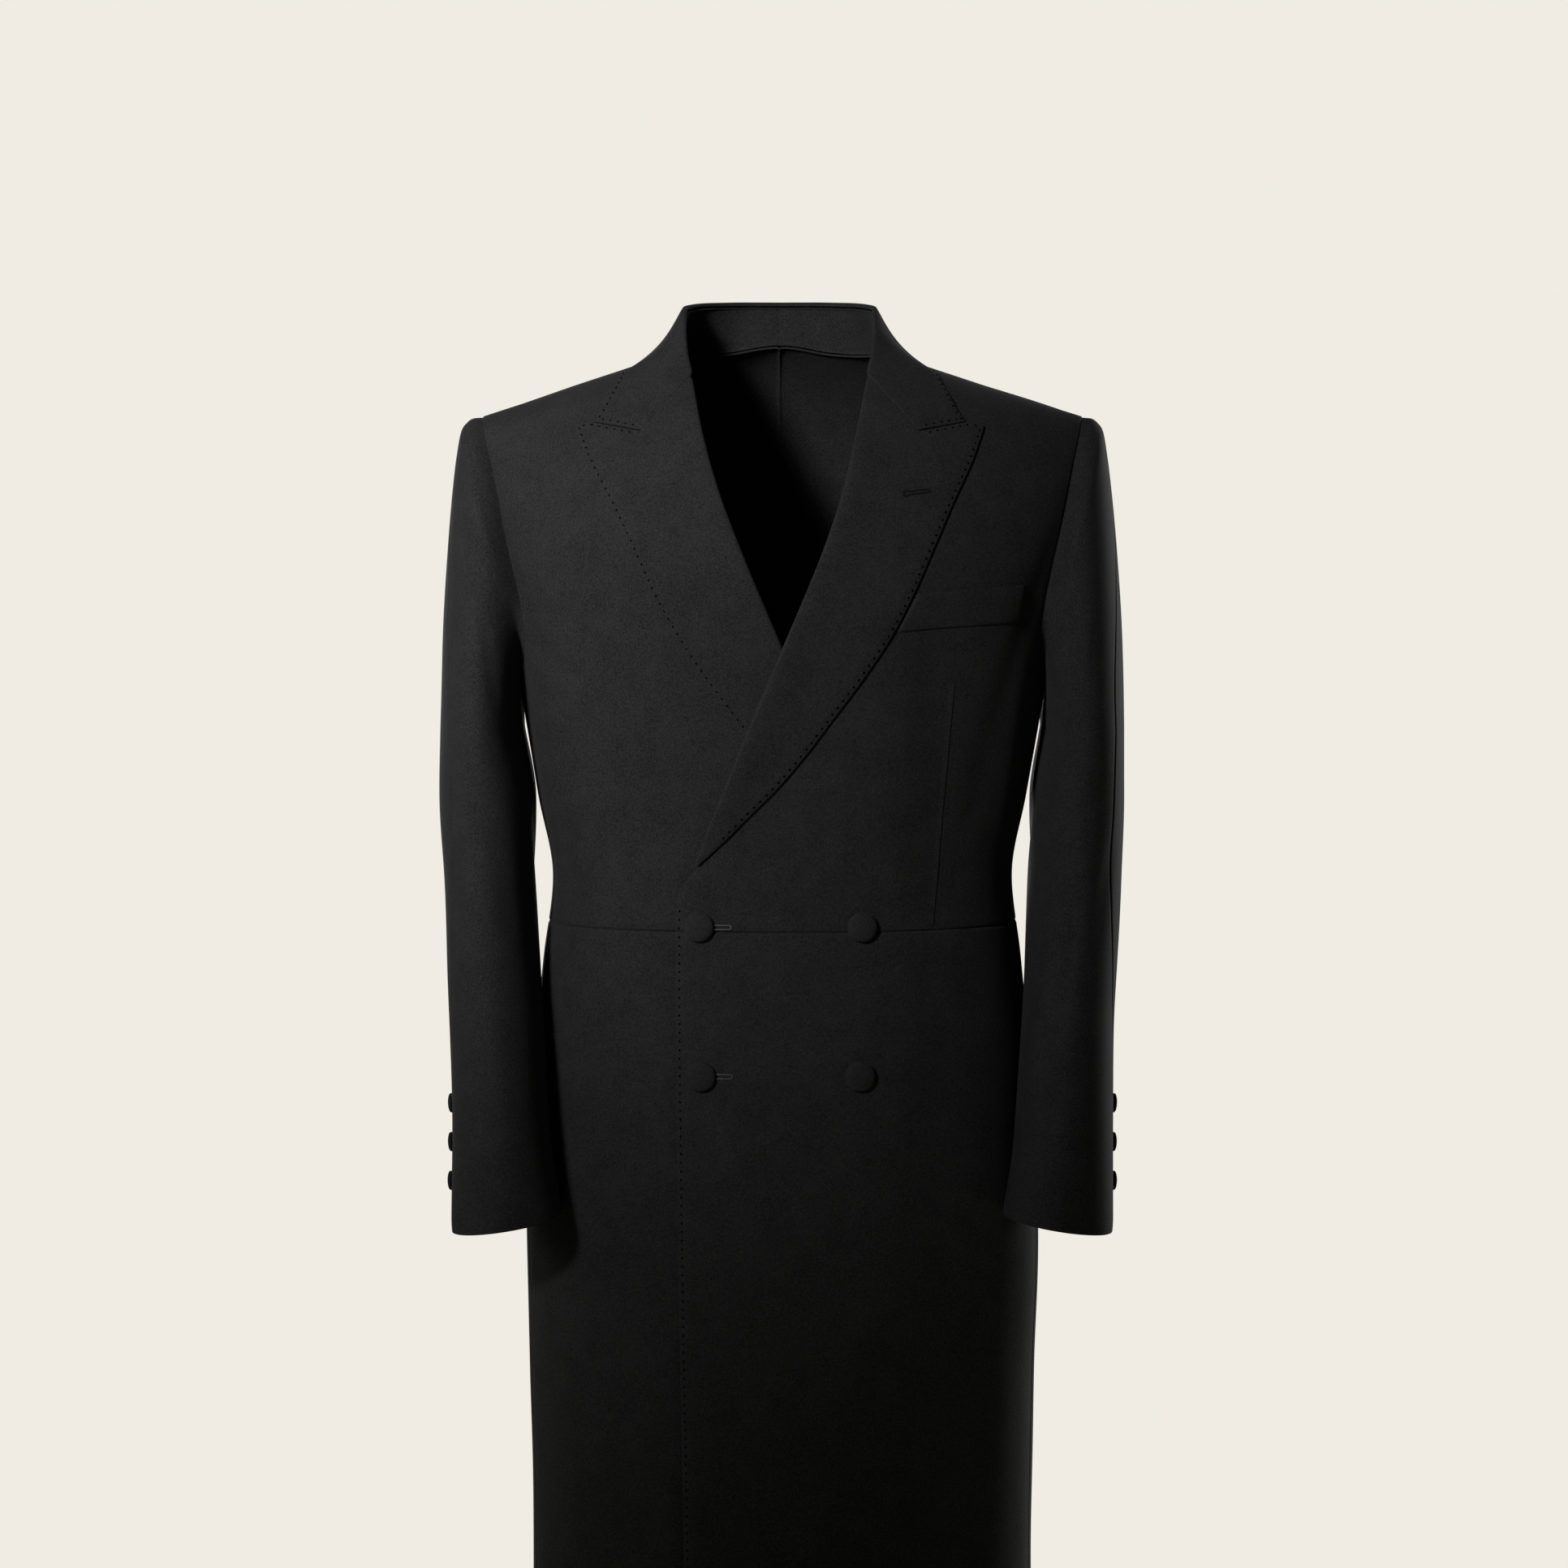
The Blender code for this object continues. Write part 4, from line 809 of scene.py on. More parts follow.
def make_side_body(side):
    across = shares(30)
    up = shares(56)
    upper = armhole(SIDE_SEAM_ROUND + across * (BACK_SEAM_ROUND - SIDE_SEAM_ROUND))
    upper[0, 0] = SIDE_SEAM_TURN + HALF_SEAM
    outer = back_seam(seam_levels(56), -HALF_SEAM)
    outer[-1, 0] = upper[-1, 0] - HALF_SEAM
    upper[-1] = outer[-1]
    inner = line((upper[0, 0], outer[0, 1]), upper[0], up)
    places = patch(inner, outer, upper, across, up)
    panel("side_body_" + side_name(side), places, side, sewn(*EDGES))


def make_back(side):
    """The back from its seam to the centre, neck to hem. Below the waist the left back runs on past
    the centre and lies over the right one as the vent."""
    across = shares(64)
    skirt_levels = below_chest(HEM + shares(80) * (WAIST_SEAM - HEM))
    body_rows, arm_rows = 49, 49
    lower_seam = back_seam(np.concatenate([skirt_levels[:-1], seam_levels(body_rows)]), HALF_SEAM)
    rounds = BACK_SEAM_ROUND + shares(arm_rows)[1:] * (1 - BACK_SEAM_ROUND)
    inner = np.concatenate([lower_seam, armhole(rounds)])
    inner[len(lower_seam) - 1, 0] = armhole(np.array(BACK_SEAM_ROUND))[0] + HALF_SEAM
    nape = neck_seam(np.array(0.0))
    climb = skirt_levels[-1] + shares(body_rows + arm_rows)[1:] * (nape[1] - skirt_levels[-1])
    levels = np.concatenate([skirt_levels, climb])
    lap = 1 - ease(CHEST_HEIGHT + LEVEL_STEP * levels, VENT_FULL, VENT_TOP)
    past_centre = np.degrees(VENT_LAP / RINGS[0].half_width) * lap if side > 0 else 0 * lap
    outer = joined(180 - HALF_SEAM + past_centre, levels)
    seam_columns = 40
    neck_x = read(NECK_SEAM, "x", NECK_POINT_ALONG)
    shoulder_x = SHOULDER_POINT_X + shares(seam_columns) * (neck_x - SHOULDER_POINT_X)
    shoulder = over_place(shoulder_x, 1.0001)
    neck = neck_seam(NECK_POINT_ALONG * (1 - shares(len(across) - 1 - seam_columns)[1:]))
    upper = np.concatenate([shoulder, neck])
    inner[-1] = upper[0]
    upper[-1] = outer[-1]
    places = patch(inner, outer, upper, across, shares(len(levels) - 1))

    def vent_lift(at):
        low_rows = 1 - ease(at[..., 1], below_chest(VENT_TOP), below_chest(VENT_TOP) + 0.25)
        return ease(at[..., 0], 165, 172) * low_rows * LAP_LIFT if side > 0 else 0.0

    above_vent = ease(CHEST_HEIGHT + LEVEL_STEP * levels, VENT_FULL, VENT_TOP)
    seams = {"first column": 1.0, "last row": 1.0, "last column": thicken(above_vent)[:, None]}
    panel("back_" + side_name(side), places, side, seams, vent_lift)


def skirt_heights(count):
    return HEM + shares(count) * (WAIST_SEAM + SEWN / 2 - HEM)


def make_skirt(name, side, inner_turns, outer_turns, columns, seams):
    """A skirt panel from the waist seam to the hem, between two upright edges."""
    across = shares(columns)
    levels = below_chest(skirt_heights(120))
    inner = joined(inner_turns + 0 * levels, levels)
    outer = joined(outer_turns + 0 * levels, levels)
    upper = line(inner[-1], outer[-1], across)
    places = patch(inner, outer, upper, across, shares(len(levels) - 1))
    panel(name + side_name(side), places, side, seams)


def make_skirts(side):
    heights = skirt_heights(120)
    front_turns = front_place(front_edge_x(heights), heights)[:, 0]
    seam_turns = back_seam(below_chest(heights), -HALF_SEAM)[:, 0]
    seams = sewn("last column", "last row")
    make_skirt("skirt_front_", side, front_turns, SIDE_SEAM_TURN - HALF_SEAM, 76, seams)
    seams = sewn("first column", "last column", "last row")
    make_skirt("skirt_side_", side, SIDE_SEAM_TURN + HALF_SEAM, seam_turns, 44, seams)


def square_away(leaf):
    """The direction out of a leaf at its first column, square to that edge."""
    out = leaf[:, 0] - leaf[:, 1]
    edge = unit(np.gradient(leaf[:, 0], axis=0))
    return unit(out - np.sum(out * edge, axis=-1, keepdims=True) * edge)


FOLD_COLUMNS = 11
FLAT_REACH = (0.0022, 0.0002)  # how far those columns reach past the edge where nothing is folded


def folded(outer, normals, fold):
    """Both faces of a leaf that turns under at its first column, as arcs about an axis just under
    it. Fold says row by row how much is folded."""
    bends = np.radians(np.linspace(90, -90, FOLD_COLUMNS)[:-1])[None, :, None]
    axis = outer[:, :1] - FOLD_RADIUS * normals[:, :1]
    out = normals[:, :1]
    over = square_away(outer)[:, None]
    fold = fold[:, None, None]

    def arc(radius):
        return axis + radius * (np.cos(bends) * over - np.sin(bends) * out)

    def turned(radius):
        return np.concatenate([arc(radius)[:, :1] - FOLD_LEG * over, arc(radius)], axis=1)

    leaf = sizes().leaf
    flat = np.linspace(*FLAT_REACH, FOLD_COLUMNS)[None, :, None] * over
    flat_outer = outer[:, :1] + flat
    outer_turn = fold * turned(FOLD_RADIUS) + (1 - fold) * flat_outer
    inner_turn = fold * turned(FOLD_RADIUS - leaf) + (1 - fold) * (flat_outer - leaf * out)
    inner = outer - leaf * normals
    return np.concatenate([outer_turn, outer], axis=1), np.concatenate([inner_turn, inner], axis=1)


def lapel_places(across, up):
    """Turns and levels of the lapel between its fold, its edge, its foot and its top."""
    inner_heights = read(LAPEL_ROWS, "height", up)
    inner = lifted_place(front_edge_x(inner_heights) + FOLD_SHIFT, inner_heights, LIE)
    edge_heights = read(LAPEL_EDGE_ROWS, "height", up)
    rounding = PEAK_ROUNDING * ease(up, 0.975, 1.0) ** 2
    edge_x = read(LAPEL_EDGE, "x", edge_heights) - rounding
    outer = lifted_place(edge_x, edge_heights, LIE)
    corners = (GORGE_START, GORGE_MIDDLE, NOTCH, COLLAR_CORNER, PEAK_TIP)
    top_x = np.interp(across, CORNER_SHARES, [corner.x for corner in corners])
    top_height = np.interp(across, CORNER_SHARES, [corner.height for corner in corners])
    rounding = PEAK_ROUNDING * ease(across, 0.90, 1.0) ** 2
    upper = lifted_place(top_x - rounding * (across == 1), top_height - NOTCH_GAP - rounding, LIE)
    inner[-1], outer[-1] = upper[0], upper[-1]
    return patch(inner, outer, upper, across, up)


GORGE_ENDS = (0.44, 0.52)  # shares of the lapel's top edge between which it stops being sewn


def make_lapel(side):
    columns = shares(36)
    places = refine(lapel_places(columns, shares(110)), low_columns=False)
    top = on_body(places, side, LIE) * (side, 1, 1)
    outer, inner = folded(top, -grid_normals(top), np.ones(len(top)))
    across = np.concatenate([np.zeros(FOLD_COLUMNS), thicken(columns, low=False)])
    seams = {"last row": 1 - ease(across, *GORGE_ENDS)}
    outer, inner = outer * (side, 1, 1), inner * (side, 1, 1)
    cloth_piece("lapel_" + side_name(side), outer, inner, seams)


def both_ways(half):
    return np.concatenate([-half[:0:-1], half])


def crease_line(along):
    """The collar's crease, from a front end (-1) round the back (0) to the other end (1)."""
    on_chest = [plain_body(lifted_place(row.x, row.height, LIE), LIE) for row in CREASE_ON_CHEST]
    points = np.array([(row.x, row.y, row.z) for row in CREASE] + on_chest)
    return both_sides(along, [row.along for row in CREASE + CREASE_ON_CHEST], points)


def plain_body(places, offset):
    """Points of the undraped form on the +X side, moved out."""
    normals = body_normal(places)
    return body(places) + normals * offset


def mirror(along):
    ones = np.ones_like(along)
    return joined(np.sign(along), ones, ones)


def both_sides(along, places, points):
    """A smooth curve through points that are given for one side, and the same on the other side."""
    curve = [smooth(np.abs(along), places, points[:, axis]) for axis in range(3)]
    return np.stack(curve, axis=-1) * mirror(along)


def leaf_edge_line(along):
    """The leaf's lower edge, through places on the body and on the chest. It runs over the shoulder
    seam as a curve through a few of its points, so that it has no bend there."""
    return both_sides(along, LEAF_KNOTS, leaf_edge_points(LEAF_KNOTS))


def leaf_edge_points(along):
    on_chest = [lifted_place(row.x, row.height, LIE) for row in LEAF_EDGE_ON_CHEST]
    on_chest_x = [body(place)[0] for place in on_chest]
    places = [row.along for row in LEAF_EDGE + LEAF_EDGE_ON_CHEST]
    x = smooth(np.abs(along), places, [row.x for row in LEAF_EDGE] + on_chest_x)
    on_chest_over = [place[1] for place in on_chest]
    over = smooth(np.abs(along), places, [row.over for row in LEAF_EDGE] + on_chest_over)
    return plain_body(over_place(x, over), LIE - LEAF_EDGE_SUNK)


def collar_leaf(along, across):
    """The leaf's upper face from the crease to its edge. It stands off the neck at the back and
    lies on the forepart at its two front ends."""
    fold = crease_line(along)
    edge = leaf_edge_line(along)
    straight = fold[:, None] + across[None, :, None] * (edge - fold)[:, None]
    bow = read(LEAF_BOW, "round", np.abs(along))
    bulge = bow[:, None, None] * np.sin(np.pi * across)[None, :, None]
    standing = straight + grid_normals(straight) * bulge
    places = lifted_place(np.abs(straight[..., 0]), straight[..., 2], LIE)
    lying = plain_body(places, LIE) * mirror(along)[:, None]
    lie = ease(np.abs(along), *LEAF_LIES)[:, None, None]
    return standing * (1 - lie) + lying * lie


def grid_normals(points):
    """Directions square to a grid: outward where its rows run round the neck from right to left
    and its columns out from the crease."""
    return unit(np.cross(np.gradient(points, axis=0), np.gradient(points, axis=1)))


LEAF_KNOTS = np.array((0, 0.12, 0.24, 0.34, 0.42, 0.60, 0.70, 0.78, 0.85, 0.92, 1.0))
NEAR_END = 1 - np.array((0.024, 0.012, 0.005, 0.0015))
COLLAR_FINE_ROWS = np.sort(np.concatenate([
    np.linspace(0, 0.76, 70), np.linspace(0.77, 1.0, 26), NEAR_END]))


def make_collar():
    across = thicken(shares(18), low=False)
    along = both_ways(COLLAR_FINE_ROWS)
    top = collar_leaf(along, across)
    fold_share = 1 - ease(np.abs(along), *FOLD_OPENS)
    outer, inner = folded(top, grid_normals(top), fold_share)
    cloth_piece("collar", outer, inner, {"first column": 1 - fold_share[:, None]})


def make_collar_stand():
    """The stand rises from the neck seam to the crease and ends just under the leaf's turned edge."""
    along = both_ways(np.linspace(0, STAND_END, 70))
    leaf = collar_leaf(along, shares(5))
    normal = grid_normals(leaf)[:, 0]
    down = -square_away(leaf)
    top = leaf[:, 0] - normal * (2 * FOLD_RADIUS) + down * FOLD_LEG
    seam = plain_body(neck_seam(np.abs(along)), -SEWN) * mirror(along)
    across = thicken(shares(12))
    neck_face = top[:, None] + across[None, :, None] * (seam - top)[:, None]
    outer = neck_face + grid_normals(neck_face) * CLOTH
    cloth_piece("collar_stand", outer, neck_face, sewn("first column", "last column"))


def sleeve_ring(round_share, height):
    """A level section of the sleeve: an ellipse, outermost at a share of 0, foremost at 0.25."""
    angle = 2 * np.pi * round_share
    outer_x = read(SLEEVES, "outer_x", height)
    inner_x = read(SLEEVES, "inner_x", height)
    x = (outer_x + inner_x) / 2 + (outer_x - inner_x) / 2 * np.cos(angle)
    half_depth = read(SLEEVES, "half_depth", height)
    y = read(SLEEVES, "middle_y", height) - half_depth * np.sin(angle)
    return joined(x, y, height + 0 * x)


def clear_of_body(points, clearance):
    """Moves points that are too near the body, or in it, straight out from its axis."""
    level = below_chest(np.minimum(points[..., 2], CHEST_HEIGHT))
    half_width = read(RINGS, "half_width", level) + clearance
    forward = read(RINGS, "front", level) + clearance
    backward = read(RINGS, "back", level) + clearance
    y = points[..., 1] - MIDDLE_Y
    depth = np.where(y < 0, forward, backward)
    reach = np.abs(points[..., 0] / half_width) ** SQUARENESS + np.abs(y / depth) ** SQUARENESS
    scale = np.where(reach < 1, reach ** (-1 / SQUARENESS), 1)
    return joined(points[..., 0] * scale, MIDDLE_Y + y * scale, points[..., 2])


def plain_sleeve(round_share, along):
    """The sleeve's undraped outer surface: along is 0 at the armhole, CAP_LENGTH at the top of the
    straight part and 1 at the cuff."""
    round_share, along = pair(round_share, along)
    wrapped = round_share % 1
    places = armhole(wrapped)
    start = body(places)
    ring_top = sleeve_ring(wrapped, np.full_like(wrapped, CAP_END))
    normal = body_normal(places)
    tip = np.clip(np.cos(2 * np.pi * wrapped), 0, 1)[..., None] * (1, 0, 0)
    start = start - SEWN / 2 * unit(ARM_MIDDLE - start) - SLEEVE_SUNK * normal + SEWN * tip
    cap_along = np.clip(along / CAP_LENGTH, 0, 1)
    out = read(CAP, "out", cap_along)
    down = read(CAP, "down", cap_along)
    cap = start + (ring_top - start) * joined(out, out, down)
    fall = np.clip((along - CAP_LENGTH) / (1 - CAP_LENGTH), 0, 1)
    cuff = CUFF_HEIGHT - CUFF_SLANT * np.cos(2 * np.pi * wrapped)
    tube = sleeve_ring(wrapped, CAP_END + fall * (cuff - CAP_END))
    points = np.where((along <= CAP_LENGTH)[..., None], cap, tube)
    clearance = (SLEEVE_CLEARANCE + SLEEVE_SUNK) * ease(cap_along, 0, 0.5) - SLEEVE_SUNK
    return clear_of_body(points, clearance)


def sleeve_normal(round_share, along):
    """The outward direction there, taken over a few millimetres so that a sharp dent stays whole."""
    down, sideways = 1e-3, 0.03
    ahead, behind = np.minimum(along + down, 1), np.maximum(along - down, 0)
    down_step = plain_sleeve(round_share, ahead) - plain_sleeve(round_share, behind)
    left, right = round_share + sideways, round_share - sideways
    return unit(np.cross(plain_sleeve(left, along) - plain_sleeve(right, along), down_step))


def sleeve(round_share, along, side, offset=0.0):
    """The draped sleeve, with a slight rope at its head and its folds, moved out along its normal."""
    round_share, along = pair(round_share, along)
    points = plain_sleeve(round_share, along)
    folds = SLEEVE_FOLDS_LEFT if side > 0 else SLEEVE_FOLDS_RIGHT
    wrapped = (round_share + 0.05) % 1 - 0.05
    out = soft_folds(wrapped, points[..., 2], folds, SLEEVE_ROUND)
    out = out + unevenness(np.sin(2 * np.pi * round_share) * 0.10, points[..., 2], side)
    head = np.clip(np.cos(2 * np.pi * round_share), 0, 1)
    rope = ROPE_HEIGHT * head * bell(along - ROPE_MIDDLE, ROPE_WIDTH)
    settled = out * ease(along, 0.0, 0.12) + rope + offset
    return (points + sleeve_normal(round_share, along) * settled[..., None]) * (side, 1, 1)


def sleeve_gap(round_share, along):
    """Half the gap between the two sleeve pieces, as a share of the way round. It is below zero,
    because they run into each other."""
    small = 1e-3
    step = plain_sleeve(round_share + small, along) - plain_sleeve(round_share - small, along)
    return -SEWN * small / np.linalg.norm(step, axis=-1)


def seam_allowance(round_share, side, depth):
    """The sleeve's turned-in edge: this deep under the body's cloth, and away from the armhole."""
    places = armhole(round_share % 1)
    normal = body_normal(places)
    rim = body(places)
    away = unit(rim - ARM_MIDDLE)
    along_cloth = unit(away - normal * np.sum(away * normal, axis=-1, keepdims=True))
    return (rim - normal * depth + along_cloth * SLEEVE_ALLOWANCE) * (side, 1, 1)


def make_sleeve(side):
    along = np.concatenate([CAP_LENGTH * shares(44)[:-1], np.linspace(CAP_LENGTH, 1, 84)])
    along = thicken(along)
    hind = read(HIND_SEAM, "round", along)
    fore = read(FORE_SEAM, "round", along)
    hind_gap, fore_gap = sleeve_gap(hind, along), sleeve_gap(fore, along)
    pieces = (("topsleeve_", hind + hind_gap, fore - fore_gap),
              ("undersleeve_", fore + fore_gap, hind + 1 - hind_gap))
    columns = thicken(shares(56))
    for name, start, end in pieces:
        rounds = start[:, None] + columns[None] * (end - start)[:, None]
        rows = np.broadcast_to(along[:, None], rounds.shape)
        outer = sleeve(rounds, rows, side)
        inner = sleeve(rounds, rows, side, -sizes().cloth)
        first = outer[0] * (side, 1, 1)
        inner[0] = (first + CLOTH * unit(ARM_MIDDLE - first)) * (side, 1, 1)
        under, deeper = (seam_allowance(rounds[0], side, walls * CLOTH + SLEEVE_SUNK)[None]
                         for walls in (1, 2))
        outer, inner = np.concatenate([under, outer]), np.concatenate([deeper, inner])
        seams = sewn("first column", "last column", "first row")
        cloth_piece(name + side_name(side), outer, inner, seams)


def make_welt():
    across = shares(60)
    up = shares(14)
    foot, top = (line(*ends, across) for ends in (WELT_FOOT, WELT_TOP))
    flat = (1 - up[:, None, None]) * foot[None] + up[:, None, None] * top[None]
    places = refine(front_place(flat[..., 1], flat[..., 0]))
    lift = WELT_LIFT * ease(thicken(up), -0.4, 1.0)[:, None]
    outer = on_body(places, 1, lift + WELT_WALL)
    seams = sewn("first row", "first column", "last column")
    cloth_piece("breast_welt", outer, on_body(places, 1, lift - WELT_SUNK), seams)


# Buttons and sewing

def frame_at(normal):
    """Two directions square to a normal and to each other, the second as upright as can be."""
    across = unit(np.cross((0.0, 0.0, 1.0), normal))
    return across, np.cross(normal, across)


def make_button(node, centre, normal, radius, height):
    """A covered button turned from one profile: a flat back, a rolled edge where the cloth is drawn
    over the mould, and a low dome that is an ellipse's quarter."""
    rolled = np.radians(np.linspace(-90, 30, 9))
    edge = height * ROLLED_EDGE
    rim_radius = radius - edge + edge * np.cos(rolled)
    rim_height = edge * (1 + np.sin(rolled))
    share = np.linspace(0, 1, 15)[1:]
    dome_radius = rim_radius[-1] * np.cos(share * np.pi / 2)
    dome_height = rim_height[-1] + (height - rim_height[-1]) * np.sin(share * np.pi / 2)
    profile_radius = np.concatenate([[0.0], rim_radius, dome_radius])
    profile_height = np.concatenate([[0.0], rim_height, dome_height])
    angles = circle(56)
    across, up = frame_at(normal)
    ring = np.cos(angles)[:, None] * across + np.sin(angles)[:, None] * up
    points = centre + profile_radius[:, None, None] * ring + profile_height[:, None, None] * normal
    faces = ring_faces(len(profile_radius), len(angles))
    flat = points.reshape(-1, 3)
    run = running_length(points, 0)
    uv = joined(run * np.cos(angles), run * np.sin(angles))
    piece = make_piece(node + "_covered", flat, outward(flat, faces), button_cloth(), uv)
    merge_poles(piece)
    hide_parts(node)
    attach(piece, ROOT)


def merge_poles(piece):
    """Joins the points that lie on each other where a turned shape closes on its axis."""
    work = bmesh.new()
    work.from_mesh(piece.data)
    bmesh.ops.remove_doubles(work, verts=work.verts, dist=1e-6)
    bmesh.ops.dissolve_degenerate(work, edges=work.edges, dist=1e-7)
    work.to_mesh(piece.data)
    work.free()


def make_front_buttons():
    for name, place in FRONT_BUTTONS.items():
        where = front_place(place.x, place.height)
        centre = on_body(where, 1, BUTTON_GAP)
        make_button(name, centre, body_normal(where), FRONT_BUTTON_RADIUS, FRONT_BUTTON_HEIGHT)


def make_cuff_buttons(side):
    for number, along in enumerate(CUFF_BUTTON_ALONG, 1):
        place = np.array(CUFF_BUTTON_ROUND), np.array(along)
        normal = sleeve_normal(*place) * (side, 1, 1)
        centre = sleeve(*place, side, BUTTON_GAP)
        name = f"cuff_button_{side_name(side)}_{number}"
        make_button(name, centre, normal, CUFF_BUTTON_RADIUS, CUFF_BUTTON_HEIGHT)


def sew(name, points, faces, material, uv=None):
    """A piece of sewing, which rides on the coat."""
    piece = make_piece(name, points, faces, material, uv)
    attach(piece, ROOT)
    return piece


def between(at, run, rows):
    """Rows of three numbers at places between those that run gives, by straight lines."""
    return joined(*[np.interp(at, run, rows[:, axis]) for axis in range(3)])


def along_path(points, pitch):
    """Places a pitch apart along a path of points, and the path's direction there."""
    run = running_length(points, 0)
    at = np.arange(pitch / 2, run[-1], pitch)
    ways = unit(between(at + 1e-3, run, points) - between(at - 1e-3, run, points))
    return between(at, run, points), ways, at, run


STITCH_HALF_HEIGHT = 0.00040


def make_stitches(name, path, normals):
    """Prick stitches along a path: each is a small ellipsoid, half sunk in the cloth. Their near black
    silk is partly the thread's own colour and partly painted shade of the pits they sink in.
    """
    spots, ways, at, run = along_path(path, sizes().stitch_pitch)
    outs = unit(between(at, run, normals))
    sideways = np.cross(outs, ways)
    turn = circle(8)
    tilt = np.radians(np.linspace(-80, 80, 5))[:, None]
    ring = joined(np.cos(tilt) * np.cos(turn), np.cos(tilt) * np.sin(turn), np.sin(tilt) + 0 * turn)
    half = np.array((sizes().stitch_length / 2, sizes().stitch_length / 3.4, STITCH_HALF_HEIGHT))
    local = ring.reshape(-1, 3) * half
    axes = zip((ways, sideways, outs), local.T)
    points = spots[:, None] + sum(way[:, None] * part[None, :, None] for way, part in axes)
    low_cap = np.array([(0, 3, 2, 1), (0, 5, 4, 3), (0, 7, 6, 5)])
    high_cap = np.array([(0, 1, 2, 3), (0, 3, 4, 5), (0, 5, 6, 7)]) + 32
    one = np.concatenate([ring_faces(5, 8), low_cap, high_cap])
    faces = (one[None] + np.arange(len(spots))[:, None, None] * len(local)).reshape(-1, 4)
    sew(name, points.reshape(-1, 3), faces, silk())


def lapel_path(x, height, side):
    """A path and its normals on the lapel's upper face, given in the front view."""
    places = lifted_place(x, height, LIE)
    normals = body_normal(places) * (side, 1, 1)
    return on_body(places, side, LIE), normals


def inset_line(x, height, inset):
    """A line in the front view moved square to itself by inset, to the left of its direction."""
    run_x, run_z = np.gradient(x), np.gradient(height)
    size = np.hypot(run_x, run_z)
    return x - run_z / size * inset, height + run_x / size * inset


def make_lapel_stitches(side):
    heights = np.linspace(LAPEL_EDGE[2].height, PEAK_TIP.height - 0.003, 120)
    edge_x = read(LAPEL_EDGE, "x", heights)
    x, height = inset_line(edge_x, heights, sizes().stitch_inset)
    make_stitches("prick_stitches_lapel_edge_" + side_name(side), *lapel_path(x, height, side))
    share = np.linspace(0.10, 0.94, 30)
    top_x = PEAK_TIP.x + share * (NOTCH.x - PEAK_TIP.x)
    top_z = np.interp(top_x, (NOTCH.x, COLLAR_CORNER.x, PEAK_TIP.x),
                      (NOTCH.height, COLLAR_CORNER.height, PEAK_TIP.height))
    x, height = inset_line(top_x, top_z, sizes().stitch_inset)
    make_stitches("prick_stitches_lapel_top_" + side_name(side), *lapel_path(x, height, side))


def make_collar_stitches():
    """Along the collar's edge all round, and along both its front ends."""
    along = both_ways(np.linspace(0, 0.985, 160))
    leaf = collar_leaf(along, shares(18))
    length = np.linalg.norm(leaf[:, -1] - leaf[:, -2], axis=-1)
    share = (sizes().stitch_inset / length)[:, None]
    path = leaf[:, -1] + share * (leaf[:, -2] - leaf[:, -1])
    make_stitches("prick_stitches_collar_edge", path, grid_normals(leaf)[:, -2])
    for side in (1, -1):
        rows = side * np.linspace(0.90, 1.0, 8)
        end = collar_leaf(np.sort(rows), shares(40))
        last, before = (end[-1], end[-2]) if side > 0 else (end[0], end[1])
        step = np.linalg.norm(last - before, axis=-1, keepdims=True)
        line_in = last + (before - last) * (sizes().stitch_inset / step)
        normals = grid_normals(end)[-1 if side > 0 else 0]
        make_stitches("prick_stitches_collar_end_" + side_name(side), line_in[4:-2], normals[4:-2])


def make_front_edge_stitches():
    heights = np.linspace(HEM + 0.010, LAPEL_FOOT - 0.030, 200)
    x, height = inset_line(front_edge_x(heights), heights, -sizes().stitch_inset)
    places = front_place(x, height)
    normals = body_normal(places)
    make_stitches("prick_stitches_front_edge", on_body(places, 1, 0.0), normals)


def make_dart(side):
    """A pressed dart: a strip that rises softly and drops off where the pressed fold ends."""
    heights = np.linspace(DART[0].height, DART[-1].height, 90)
    x = read(DART[::-1], "x", heights)
    across = np.array((-5.0, -3.8, -2.4, -1.1, -0.4, -0.05, 0.05, 0.6)) * 1e-3
    lip = np.array((-0.50, -0.08, 0.06, 0.24, 0.36, 0.32, -0.50, -0.60)) * 1e-3
    fading = ease(np.arange(90), 0, 6)[:, None]
    places = front_place(x[:, None] + across[None], heights[:, None])
    top = on_body(places, side, lip[None] * fading + 0.00012 * fading - 0.0002 * (1 - fading))
    under = on_body(places, side, -0.0009)
    points, faces, uv = closed_cloth(top, under)
    sew("dart_" + side_name(side), points, faces, wool(), uv)


CORD_HALF_WIDTH = 0.00060
CORD_HALF_HEIGHT = 0.00045
PURL_PITCH = 0.0007
PURL_HEIGHT = 0.16  # as a share of the cord's radius
EYELET_INSIDE = 0.0015
EYELET_WIDTH = 0.0020


